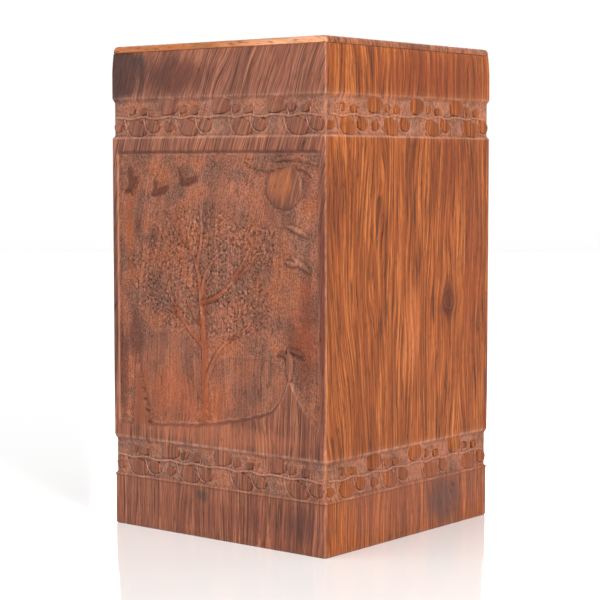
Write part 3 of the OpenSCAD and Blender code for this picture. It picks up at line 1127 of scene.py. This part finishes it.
def rosewood(
    name, across, along, tones, start, lean=0.0, wander=30.0, streak=1.5,
    knot=(0, 0, 0), patches=(), floor=None,
):
    """A plank's material; across and along are the board's directions in the frame."""
    material = bpy.data.materials.new(name)
    material.use_nodes = True
    tree = material.node_tree
    s = Sums(tree)
    shader = tree.nodes["Principled BSDF"]
    place = board_place(tree, across, along)
    feeds = {"Place": place, "Lean": lean, "Start": start, "Wander": wander, "Streak width": streak}
    feeds |= {"Knot across": knot[0], "Knot along": knot[1], "Knot size": knot[2]}
    out = plank_grain(tree, feeds)
    marks = []
    for label in ("carved", "relief_shading", "wear_and_highlight", "island", "limb", "end_grain_and_shade"):
        marks.append(put(tree, "ShaderNodeAttribute", attribute_name=label).outputs["Fac"])
    carved, relief_shading, wear_and_highlight, island, limb, end_grain_and_shade = marks
    feeds = {"Vector": place, "Scale": PUNCH_SIZE, "Randomness": 1.0}
    cell = put(tree, "ShaderNodeTexVoronoi", feeds).outputs["Distance"]
    speck = put(tree, "ShaderNodeTexNoise", {"Vector": place, "Scale": 1.3, "Detail": 3.0}).outputs[0]

    colour = figured(tree, out, tones)
    if floor:
        colour = punched_floor(tree, colour, place, floor, carved, cell, speck)
    colour = patched(tree, place, colour, patches)
    colour = blend(tree, s.times(out["Pore"], 0.5), colour, dark(tones[0], 0.45))
    # Pale from wear and a painted highlight: corners, lips, leaf rings, cords and slopes facing the key.
    colour = blend(tree, s.times(wear_and_highlight, 0.56), colour, linear(*WEAR_AND_HIGHLIGHT_TONE))
    colour = blend(tree, s.times(island, 0.2), colour, linear(*tones[2]))
    colour = blend(tree, s.times(limb, 0.8), colour, linear(*LIMB_WOOD))
    # Painted highlight on the crests, where relief_shading is below 0, weaker on raised figures.
    crest_highlight = s.times(s.soft(relief_shading, -0.05, -0.35), s.soft(island, 0.0, 1.0, 0.4, 0.14))
    colour = blend(tree, crest_highlight, colour, linear(*CREST_HIGHLIGHT_TONE))
    # Darker cut ends and the dark birds, with painted shade along the line above the foot.
    colour = blend(tree, s.times(end_grain_and_shade, 0.8), colour, linear(*END_GRAIN_AND_SHADE_TONE))
    # Painted shade: the hollows darken with relief_shading.
    value = s.times(s.soft(out["Fibre"], 0.25, 0.75, 0.83, 1.17), s.soft(relief_shading, 0.0, 0.4, 1.0, 0.4))
    value = s.times(value, s.soft(island, 0.0, 1.0, 1.0, 0.88))
    value = s.times(value, s.soft(out["Wide"], 0.32, 0.68, 0.88, 1.1))
    shaded = put(tree, "ShaderNodeHueSaturation", {"Value": value, "Color": colour})
    tree.links.new(shaded.outputs[0], shader.inputs["Base Color"])

    dull = s.plus(s.times(out["Pore"], 0.2), s.times(carved, 0.22))
    dull = s.plus(dull, s.times(out["Fibre"], 0.14))
    tree.links.new(s.plus(dull, 0.34), shader.inputs["Roughness"])
    shader.inputs["Specular IOR Level"].default_value = 0.2
    shader.inputs["Coat Weight"].default_value = 0.02
    shader.inputs["Coat Roughness"].default_value = 0.3

    punch = s.times(carved, s.soft(cell, 0.15, 0.62))
    rough = s.plus(punch, s.times(carved, speck))
    height = s.minus(s.plus(rough, s.times(out["Fibre"], 0.2)), s.times(out["Pore"], 0.35))
    bump = put(tree, "ShaderNodeBump", {"Strength": 0.8, "Distance": BUMP_HEIGHT, "Height": height})
    tree.links.new(bump.outputs[0], shader.inputs["Normal"])
    return material


print(f"punch marks {1 / PUNCH_SIZE:.2f} mm across, bumps up to {BUMP_HEIGHT / MM:.2f} mm high")

# %% [markdown]
# ## One plank for each board
#
# The front came from a pinkish plank whose grain leans at the top, with a dark corner. Dark strips
# of painted shade run along both its edges, where the margins turn away from the key light. The
# right side is warmer and straight, with a knot. The sides that face away are in keeping and
# plainer. The lid shows pale sapwood along its front edge, with a painted highlight towards the
# near corner.

# %% The planks
FRONT_TONES = [(92, 49, 35), (117, 66, 47), (138, 82, 59), (162, 103, 75)]
RIGHT_TONES = [(98, 46, 14), (127, 62, 21), (150, 78, 33), (177, 104, 51)]
BACK_TONES = [(92, 47, 28), (123, 66, 39), (145, 81, 49), (168, 103, 67)]
LEFT_TONES = [(86, 45, 29), (114, 62, 40), (136, 76, 51), (160, 98, 67)]
LID_TONES = [(100, 54, 33), (130, 75, 48), (151, 91, 60), (172, 111, 77)]
BASE_TONES = [(86, 46, 30), (116, 66, 44), (138, 82, 56), (158, 98, 70)]
FRONT_FLOOR = [(94, 59, 46), (122, 69, 48), (146, 83, 57), (152, 79, 39)]
RIGHT_FLOOR = [(94, 54, 38), (126, 74, 52), (150, 92, 68), (144, 80, 50)]

# A patch: (centre across and along the grain, half sizes, colour, strength, softness)
FRONT_PATCHES = [
    ((-72, 264), (25, 20), (60, 28, 22), 0.88, 0.4),
    ((-57, 272), (9, 7), (38, 20, 18), 0.6, 0.8),
    ((-30, 262), (36, 16), (92, 44, 28), 0.78, 0.7),
    # Painted shade: the next two patches darken the margins, which turn away from the key light.
    ((77, 140), (3, 85), (122, 58, 38), 0.7, 0.5),
    ((-78, 140), (3.5, 85), (110, 58, 42), 0.7, 0.5),
    ((-8.5, 108), (3.4, 50), (172, 92, 50), 0.55, 0.6),
    ((47.5, 202), (11, 13), (216, 136, 80), 0.74, 0.6),
    # Painted shade on the moon's right side and beside it.
    ((65, 198), (7, 16), (112, 68, 58), 0.5, 0.8),
    ((64, 120), (12, 44), (140, 68, 40), 0.55, 0.7),
    ((-22, 78), (46, 26), (184, 104, 60), 0.4, 0.8),
    ((-66, 170), (4, 40), (172, 100, 52), 0.5, 0.7),
    ((-60, 177), (5, 9), (84, 48, 36), 0.55, 0.8),
    ((-47, 171), (7, 8), (84, 56, 52), 0.45, 0.8),
    ((-42, 132), (16, 10), (112, 86, 80), 0.45, 0.8),
    ((0, 187), (24, 12), (118, 84, 74), 0.4, 0.9),
    ((38, 186), (12, 14), (182, 116, 92), 0.35, 0.8),
    ((56, 116), (8, 16), (96, 58, 46), 0.5, 0.8),
    ((0, 60), (76, 9), (190, 126, 92), 0.5, 0.6),
    ((-72, 92), (6, 34), (92, 54, 48), 0.6, 0.6),
    ((-10, 24), (8, 6), (78, 62, 56), 0.7, 0.8),
    ((60, 16), (20, 14), (96, 62, 56), 0.6, 0.8),
    ((-62, 112), (8, 20), (96, 54, 40), 0.6, 0.6),
    ((52, 240), (10, 30), (176, 116, 96), 0.25, 0.7),
    ((-10, 14), (60, 12), (118, 68, 52), 0.4, 0.8),
]
RIGHT_PATCHES = [
    ((-70, 190), (9, 36), (100, 50, 28), 0.6, 0.7),
    ((0, 120), (8, 40), (212, 138, 86), 0.5, 0.7),
    ((10, 22), (95, 30), (152, 104, 86), 0.42, 0.5),
    ((34, 17), (23, 20), (98, 76, 70), 0.72, 0.7),
    ((21.0, 130), (1.0, 13), (60, 34, 20), 0.8, 0.4),
    ((36.5, 132), (12, 19), (84, 34, 6), 0.82, 0.9),
    ((20, 262), (70, 20), (132, 64, 28), 0.6, 0.8),
    ((40, 208), (44, 40), (128, 62, 26), 0.45, 0.9),
    ((60, 150), (12, 70), (160, 84, 44), 0.5, 0.8),
]
BACK_PATCHES = [
    ((-24, 150), (10, 70), (88, 46, 26), 0.5, 0.8),
    ((38, 120), (16, 60), (186, 112, 66), 0.4, 0.8),
    ((52, 226), (14, 30), (76, 40, 24), 0.45, 0.8),
]
LEFT_PATCHES = [
    ((44, 170), (12, 60), (84, 44, 28), 0.5, 0.8),
    ((-30, 96), (20, 50), (164, 92, 56), 0.4, 0.8),
]
LID_PATCHES = [
    ((30, -20), (12, 60), (98, 52, 30), 0.5, 0.8),
    ((-36, 24), (18, 70), (186, 118, 74), 0.35, 0.8),
    ((-HALF, 0), (3.4, 120), (192, 128, 74), 1.0, 0.3),
    # Painted highlight on the lid's front edge, growing towards the near corner.
    ((-HALF, 64), (3.4, 66), (236, 198, 160), 0.9, 0.7),
]

wood = {
    "front": rosewood(
        "front_rosewood", (1, 0, 0), (0, 0, 1), FRONT_TONES, 3.0, 0.0013, 30.0,
        patches=FRONT_PATCHES, floor=FRONT_FLOOR, streak=1.15,
    ),
    "right": rosewood(
        "right_rosewood", (0, 1, 0), (0, 0, 1), RIGHT_TONES, 17.0, 0.0, 36.0,
        knot=(36.5, 132.0, 5.0), patches=RIGHT_PATCHES, floor=RIGHT_FLOOR,
    ),
    "back": rosewood(
        "back_rosewood", (-1, 0, 0), (0, 0, 1), BACK_TONES, 31.0, 0.0003, 44.0,
        patches=BACK_PATCHES, floor=RIGHT_FLOOR,
    ),
    "left": rosewood(
        "left_rosewood", (0, -1, 0), (0, 0, 1), LEFT_TONES, 47.0, -0.0004, 36.0,
        patches=LEFT_PATCHES, floor=FRONT_FLOOR,
    ),
    "lid": rosewood("lid_rosewood", (0, 1, 0), (1, 0, 0), LID_TONES, 59.0, patches=LID_PATCHES),
    "base": rosewood("base_rosewood", (0, 1, 0), (1, 0, 0), BASE_TONES, 71.0),
}
for side, material in wood.items():
    pieces[side].data.materials.append(material)
print(f"{len(wood)} planks of rosewood")

# %% [markdown]
# ## Leaves along the bands
#
# The leaves repeat by a rule, so Geometry Nodes set them: a line of points for each kind of leaf,
# one per repeat, and a leaf on each point. A leaf is a low pebble with its top cut off just below
# the face of the board. The vine and the stems are thin cords, half sunk in the floor. The tree
# works flat, with the relief along Z, and its result is then stood up on each of the four sides.

# %% A leaf and a cord in Geometry Nodes
LEAF_LEVEL = -0.1
LEAF_MIDDLE = -1.25
LEAF_THICK = 2.4


def geometry_tree(name, inputs):
    tree = bpy.data.node_groups.new(name, "GeometryNodeTree")
    tree.interface.new_socket(name="Geometry", in_out="OUTPUT", socket_type="NodeSocketGeometry")
    for label, kind in inputs.items():
        tree.interface.new_socket(name=label, in_out="INPUT", socket_type=kind)
    return tree, put(tree, "NodeGroupInput").outputs, put(tree, "NodeGroupOutput")


def marked(tree, thing, label, value):
    """The thing with a number stored on its points, for its material to read."""
    feeds = {"Geometry": thing, "Name": label, "Value": value}
    return put(tree, "GeometryNodeStoreNamedAttribute", feeds, data_type="FLOAT", domain="POINT").outputs[0]


def own_place(tree):
    """The three coordinates of the point that the tree is working on."""
    return parts_of(tree, put(tree, "GeometryNodeInputPosition").outputs[0])


def random_between(tree, low, high, seed):
    feeds = {2: low, 3: high, 8: seed}
    return put(tree, "FunctionNodeRandomValue", feeds, data_type="FLOAT").outputs[1]


def pebble_leaf(tree, length, height, lean):
    """A ball made squarish, narrower at one end, flattened and cut off level."""
    ball = put(tree, "GeometryNodeMeshUVSphere", {"Segments": 22, "Rings": 8, "Radius": 1.0}).outputs["Mesh"]
    s = Sums(tree)
    x, y, z = own_place(tree)
    squarer = s.plus(1.0, s.times(s.do("POWER", s.times(x, y), 2.0), 0.5))
    narrower = s.times(squarer, s.minus(1.0, s.times(x, 0.2)))
    moved = vector_of(tree, s.times(x, squarer), s.times(y, narrower), z)
    egg = put(tree, "GeometryNodeSetPosition", {"Geometry": ball, "Position": moved}).outputs[0]
    feeds = {
        "Geometry": egg,
        "Scale": (length / 2 * MM, height / 2 * MM, LEAF_THICK * MM),
        "Rotation": (0.0, 0.0, math.radians(lean)),
        "Translation": (0.0, 0.0, LEAF_MIDDLE * MM),
    }
    placed = put(tree, "GeometryNodeTransform", feeds).outputs[0]
    x, y, z = own_place(tree)
    flat = vector_of(tree, x, y, s.do("MINIMUM", z, LEAF_LEVEL * MM))
    leaf = put(tree, "GeometryNodeSetPosition", {"Geometry": placed, "Position": flat}).outputs[0]
    return marked(tree, leaf, "island", 0.7)


def cord(tree, line, radius, resolution=8):
    """A thin round cord along a curve, closed at its ends."""
    feeds = {"Resolution": resolution, "Radius": radius}
    ring = put(tree, "GeometryNodeCurvePrimitiveCircle", feeds).outputs[0]
    feeds = {"Curve": line, "Profile Curve": ring, "Fill Caps": True}
    solid = put(tree, "GeometryNodeCurveToMesh", feeds).outputs[0]
    # The cord is marked pale, for wear and a painted highlight together.
    return marked(tree, solid, "wear_and_highlight", 0.38)


print(f"leaf tops {-LEAF_LEVEL:.1f} mm below the face of the board")

# %% The leaf band as a Geometry Nodes tree
VINE_WAVE = 0.55
VINE_DEPTH = -0.85
VINE_POINTS = 14.0
VINE_END = 0.478
STEM_DEPTH = -0.8
# A stem: (start, bend, end) from its leaf's place, then the leaf's place and its first repeat
STEMS = [
    ((-10.2, 6.1), (-9.4, -2.6), (-3.0, -5.2), 20.5, -6.1, 0),
    ((-7.6, 4.6), (-7.4, -3.2), (-1.4, -4.9), 33.2, -4.6, 0),
    ((-2.6, -4.2), (-3.4, -1.6), (-2.4, 1.4), 16.2, 4.3, 0),
    ((2.6, -3.6), (3.6, -2.2), (3.0, 0.2), 25.4, 3.6, 0),
]


def wavy_vine(tree, side, repeats, repeat):
    """A line along the band that swings twice in each repeat and is a little unsteady."""
    s = Sums(tree)
    half = s.times(side, VINE_END)
    ends = [vector_of(tree, s.times(half, sign), 0.0, VINE_DEPTH * MM) for sign in (-1.0, 1.0)]
    line = put(tree, "GeometryNodeCurvePrimitiveLine", {"Start": ends[0], "End": ends[1]}).outputs[0]
    feeds = {"Curve": line, "Count": s.times(repeats, VINE_POINTS)}
    line = put(tree, "GeometryNodeResampleCurve", feeds).outputs[0]
    turns = s.times(s.do("DIVIDE", own_place(tree)[0], repeat), 4 * math.pi)
    noise = put(tree, "ShaderNodeTexNoise", {"Scale": 140.0, "Detail": 2.0}).outputs[0]
    unsteady = s.minus(noise, 0.5)
    wave = s.plus(s.times(s.do("SINE", turns), VINE_WAVE * MM), s.times(unsteady, 2.2 * MM))
    shift = vector_of(tree, 0.0, wave, s.times(unsteady, 0.5 * MM))
    return put(tree, "GeometryNodeSetPosition", {"Geometry": line, "Offset": shift}).outputs[0]


def leaf_band_tree():
    inputs = {
        "Side length": "NodeSocketFloat",
        "Repeats": "NodeSocketInt",
        "Vine radius": "NodeSocketFloat",
        "Stem radius": "NodeSocketFloat",
        "Wood": "NodeSocketMaterial",
    }
    tree, asked, given = geometry_tree("leaf_band", inputs)
    s = Sums(tree)
    side = asked["Side length"]
    repeat = s.do("DIVIDE", side, asked["Repeats"])
    step = vector_of(tree, repeat, 0.0, 0.0)
    joined = put(tree, "GeometryNodeJoinGeometry")

    def row(thing, along, up, first, last):
        """One copy of a thing in each repeat, from the first up to the last."""
        x = s.plus(s.times(repeat, along / DRAWN_REPEAT + first), s.times(side, -0.5))
        where = vector_of(tree, x, up * LEAF_UNIT * MM, 0.0)
        count = last - first if last < REPEATS else s.minus(asked["Repeats"], float(first))
        points = put(tree, "GeometryNodeMeshLine", {"Count": count, "Start Location": where, "Offset": step})
        size = random_between(tree, 0.92, 1.07, len(joined.inputs[0].links))
        feeds = {"Points": points.outputs[0], "Instance": thing, "Scale": size}
        copies = put(tree, "GeometryNodeInstanceOnPoints", feeds)
        tree.links.new(copies.outputs[0], joined.inputs[0])

    for along, up, length, height, lean, first, last in LEAVES.values():
        row(pebble_leaf(tree, length * LEAF_UNIT, height * LEAF_UNIT, lean), along, up, first, last)

    for start, bent, end, along, up, first in STEMS:
        feeds = {"Resolution": 7}
        for label, (x, y) in (("Start", start), ("Middle", bent), ("End", end)):
            feeds[label] = (x * MM, y * MM, STEM_DEPTH * MM)
        line = put(tree, "GeometryNodeCurveQuadraticBezier", feeds).outputs[0]
        row(cord(tree, line, asked["Stem radius"], 6), along, up, first, REPEATS)

    vine = wavy_vine(tree, side, asked["Repeats"], repeat)
    tree.links.new(cord(tree, vine, asked["Vine radius"]), joined.inputs[0])

    solid = put(tree, "GeometryNodeRealizeInstances", {0: joined.outputs[0]}).outputs[0]
    crisp = put(tree, "GeometryNodeSetShadeSmooth", {"Geometry": solid, "Shade Smooth": False}).outputs[0]
    painted = put(tree, "GeometryNodeSetMaterial", {"Geometry": crisp, "Material": asked["Wood"]}).outputs[0]
    tree.links.new(painted, given.inputs[0])
    return tree


band_tree = leaf_band_tree()
print(f"leaf band tree of {len(band_tree.nodes)} nodes")

# %% [markdown]
# ## From a tree to a plain mesh
#
# A modifier runs the tree on a carrier object. Its inputs are set by their identifiers before the
# object is first evaluated. The evaluated result is copied as a plain mesh and the carrier goes.

# %% Running a Geometry Nodes tree
def grown(name, tree, values, carrier_mesh=None):
    carrier = bpy.data.objects.new(f"{name}_carrier", carrier_mesh or bpy.data.meshes.new(f"{name}_carrier"))
    bpy.context.scene.collection.objects.link(carrier)
    modifier = carrier.modifiers.new("grow", "NODES")
    modifier.node_group = tree
    for item in tree.interface.items_tree:
        if item.in_out == "INPUT" and item.name in values:
            modifier[item.identifier] = values[item.name]
    bpy.context.view_layer.update()
    evaluated = carrier.evaluated_get(bpy.context.evaluated_depsgraph_get())
    mesh = bpy.data.meshes.new_from_object(evaluated)
    mesh.name = name
    carrier.modifiers.clear()
    bpy.data.objects.remove(carrier)
    return mesh


def stood_up(depth, height):
    """From flat to upright on the front, at this depth below its face and this height."""
    return Matrix.Translation((0, (depth - HALF) * MM, height * MM)) @ Matrix.Rotation(math.pi / 2, 4, "X")


for side, turn in SIDES.items():
    values = {
        "Side length": WIDTH * MM,
        "Repeats": REPEATS,
        "Vine radius": 0.66 * MM,
        "Stem radius": 0.4 * MM,
        "Wood": wood[side],
    }
    both = bmesh.new()
    for z in (LOW_BAND, HIGH_BAND):
        band = grown(f"{side}_band", band_tree, values)
        band.transform(stood_up(0, z + BAND / 2))
        both.from_mesh(band)
    leaves = bpy.data.meshes.new(f"{side}_leaves")
    both.to_mesh(leaves)
    both.free()
    leaves.materials.append(wood[side])
    piece = make_piece(f"{side}_leaves", leaves, None, turn)
    pieces[f"{side}_leaves"] = piece
    print(f"{piece.name}: {len(leaves.polygons)} faces")

# %% [markdown]
# ## Foliage of the tree
#
# The crown has thousands of flecks, each a small ridge cut by two strokes of a gouge. Geometry
# Nodes scatter points over a sheet that carries the leafiness of the crown as an attribute, and
# set a four-sided chip on each, turned at random from a fixed seed.

# %% Scattered leaf flecks
SHEET_STEP = 1.5
SHEET_BORDER = 4
SHEET_LOW = 50
CHIP_SHAPE = (0.5, 0.24, 0.28)
CHIP_DEPTH = 0.15
MOST_CHIPS = 900000.0


def crown_sheet():
    """A flat grid over the picture's sky, with the leafiness at each point."""
    us = np.arange(SIDE_MARGIN + SHEET_BORDER, WIDTH - SIDE_MARGIN - SHEET_BORDER, SHEET_STEP)
    vs = np.arange(SKY_LOW + SHEET_LOW, SKY_TOP - SHEET_BORDER, SHEET_STEP)
    u, v = np.meshgrid(us, vs)
    points = np.stack([(u - HALF) * MM, v * MM, np.zeros_like(u)], axis=-1).reshape(-1, 3)
    mesh = bpy.data.meshes.new("crown_sheet")
    mesh.from_pydata(points.tolist(), [], grid_faces(u.shape)[1].tolist())
    data = mesh.attributes.new("leafiness", "FLOAT", "POINT")
    data.data.foreach_set("value", leafiness(*on_field(u, v)).reshape(-1).astype(np.float32))
    return mesh


def foliage_tree():
    inputs = {
        "Sheet": "NodeSocketGeometry",
        "Leaf length": "NodeSocketFloat",
        "Leaf spacing": "NodeSocketFloat",
        "Seed": "NodeSocketInt",
        "Wood": "NodeSocketMaterial",
    }
    tree, asked, given = geometry_tree("foliage", inputs)
    s = Sums(tree)
    dense = put(tree, "GeometryNodeInputNamedAttribute", {"Name": "leafiness"}, data_type="FLOAT").outputs[0]
    feeds = {
        "Mesh": asked["Sheet"],
        "Distance Min": asked["Leaf spacing"],
        "Density Max": MOST_CHIPS,
        "Density Factor": s.do("POWER", dense, 1.4),
        "Seed": asked["Seed"],
    }
    points = put(tree, "GeometryNodeDistributePointsOnFaces", feeds, distribute_method="POISSON").outputs[0]
    chip = put(tree, "GeometryNodeMeshCone", {"Vertices": 4, "Radius Bottom": 1.0, "Depth": 1.0}).outputs[0]
    length = asked["Leaf length"]
    shape = vector_of(tree, *[s.times(length, share) for share in CHIP_SHAPE])
    chip = put(tree, "GeometryNodeTransform", {"Geometry": chip, "Scale": shape}).outputs[0]
    chip = marked(tree, chip, "carved", 0.7)
    # Painted shade that darkens each chip a little.
    chip = marked(tree, chip, "relief_shading", 0.15)
    turn = random_between(tree, 0.0, 2 * math.pi, asked["Seed"])
    tilt = random_between(tree, -0.35, 0.35, 5)
    size = random_between(tree, 0.7, 1.3, 9)
    angle = vector_of(tree, tilt, tilt, turn)
    feeds = {"Points": points, "Instance": chip, "Rotation": angle, "Scale": size}
    copies = put(tree, "GeometryNodeInstanceOnPoints", feeds).outputs[0]
    solid = put(tree, "GeometryNodeRealizeInstances", {0: copies}).outputs[0]
    painted = put(tree, "GeometryNodeSetMaterial", {"Geometry": solid, "Material": asked["Wood"]}).outputs[0]
    tree.links.new(painted, given.inputs[0])
    return tree


values = {"Leaf length": 1.6 * MM, "Leaf spacing": 1.35 * MM, "Seed": 4, "Wood": wood["front"]}
foliage = grown("foliage", foliage_tree(), values, crown_sheet())
foliage.transform(stood_up(SKY_DEPTH + CHIP_DEPTH, 0))
pieces["foliage"] = make_piece("tree_foliage", foliage, None)
print(f"{pieces['foliage'].name}: {len(foliage.polygons)} faces")

# %% [markdown]
# ## Studio
#
# A pale floor that runs out into a white surround, one broad soft light overhead and a smaller key
# from the right of the front. The key grazes the front, so that each raised edge shows a light
# side and a dark one. Two fills, one weak and one far off, lift the left and the back. None of
# this is part of the object.

# %% Floor, lights and surround
FLOOR_REACH = 4.0
SURROUND = 0.42
SEEN_WHITE = 1.02
AIM = Vector((0, 0, 0.14))


def pale_floor():
    mesh = bpy.data.meshes.new("studio_floor")
    corners = [(x * FLOOR_REACH, y * FLOOR_REACH, 0) for x, y in ((-1, -1), (1, -1), (1, 1), (-1, 1))]
    mesh.from_pydata(corners, [], [(0, 1, 2, 3)])
    floor = bpy.data.objects.new("studio_floor", mesh)
    bpy.context.scene.collection.objects.link(floor)
    material = bpy.data.materials.new("pale_floor")
    material.use_nodes = True
    shader = material.node_tree.nodes["Principled BSDF"]
    shader.inputs["Base Color"].default_value = (0.9, 0.9, 0.9, 1)
    shader.inputs["Roughness"].default_value = 0.08
    shader.inputs["Specular IOR Level"].default_value = 1.0
    mesh.materials.append(material)


def soft_light(name, place, size, power, tint=(1, 1, 1)):
    data = bpy.data.lights.new(name, "AREA")
    data.shape = "RECTANGLE"
    data.size, data.size_y = size
    data.energy = power
    data.color = tint
    light = bpy.data.objects.new(name, data)
    light.location = place
    light.rotation_euler = (AIM - Vector(place)).to_track_quat("-Z", "Y").to_euler()
    bpy.context.scene.collection.objects.link(light)


def soft_sun(power):
    """Even light from above, which keeps the floor as bright far off as it is near."""
    data = bpy.data.lights.new("overhead", "SUN")
    data.energy = power
    data.angle = math.radians(60)
    light = bpy.data.objects.new("overhead", data)
    light.rotation_euler = (math.radians(24), math.radians(6), 0)
    bpy.context.scene.collection.objects.link(light)


pale_floor()
soft_sun(1.6)
soft_light("key_right", (1.35, -0.6, 0.86), (0.45, 0.55), 22, (1.0, 0.97, 0.93))
soft_light("fill_left", (-1.1, -1.2, 0.5), (0.8, 1.0), 5)
soft_light("fill_back", (-1.6, 2.3, 1.2), (1.4, 1.8), 28)

world = bpy.data.worlds.new("white_surround")
bpy.context.scene.world = world
world.use_nodes = True
backdrop = world.node_tree.nodes["Background"]
backdrop.inputs["Color"].default_value = (1, 1, 1, 1)
path = put(world.node_tree, "ShaderNodeLightPath").outputs
seen = Sums(world.node_tree).do("MAXIMUM", path["Is Camera Ray"], path["Is Glossy Ray"])
strength = put(world.node_tree, "ShaderNodeMapRange", {0: seen, 3: SURROUND, 4: SEEN_WHITE}).outputs[0]
world.node_tree.links.new(strength, backdrop.inputs["Strength"])
bpy.context.scene.view_settings.view_transform = "Standard"
lights = [thing.name for thing in bpy.context.scene.objects if thing.type == "LIGHT"]
print(f"lights: {', '.join(lights)}, in a surround of {SURROUND}")

# %% [markdown]
# ## Camera
#
# The camera stands about a metre from the box, a little below its top, and looks down slightly.

# %% The camera
EYE = Vector((0.6554, -0.8157, 0.2113))
TURN = math.radians(-38.877)
TILT = math.radians(-4.371)
camera_data = bpy.data.cameras.new("camera")
camera_data.lens = 105.83
camera_data.sensor_width = 36
camera = bpy.data.objects.new("camera", camera_data)
camera.location = EYE
forward = Vector((math.cos(TILT) * math.sin(TURN), math.cos(TILT) * math.cos(TURN), math.sin(TILT)))
camera.rotation_euler = forward.to_track_quat("-Z", "Y").to_euler()
bpy.context.scene.collection.objects.link(camera)
bpy.context.scene.camera = camera
print(f"camera {EYE.length:.2f} m from the middle of the box's underside, lens {camera_data.lens:.0f} mm")
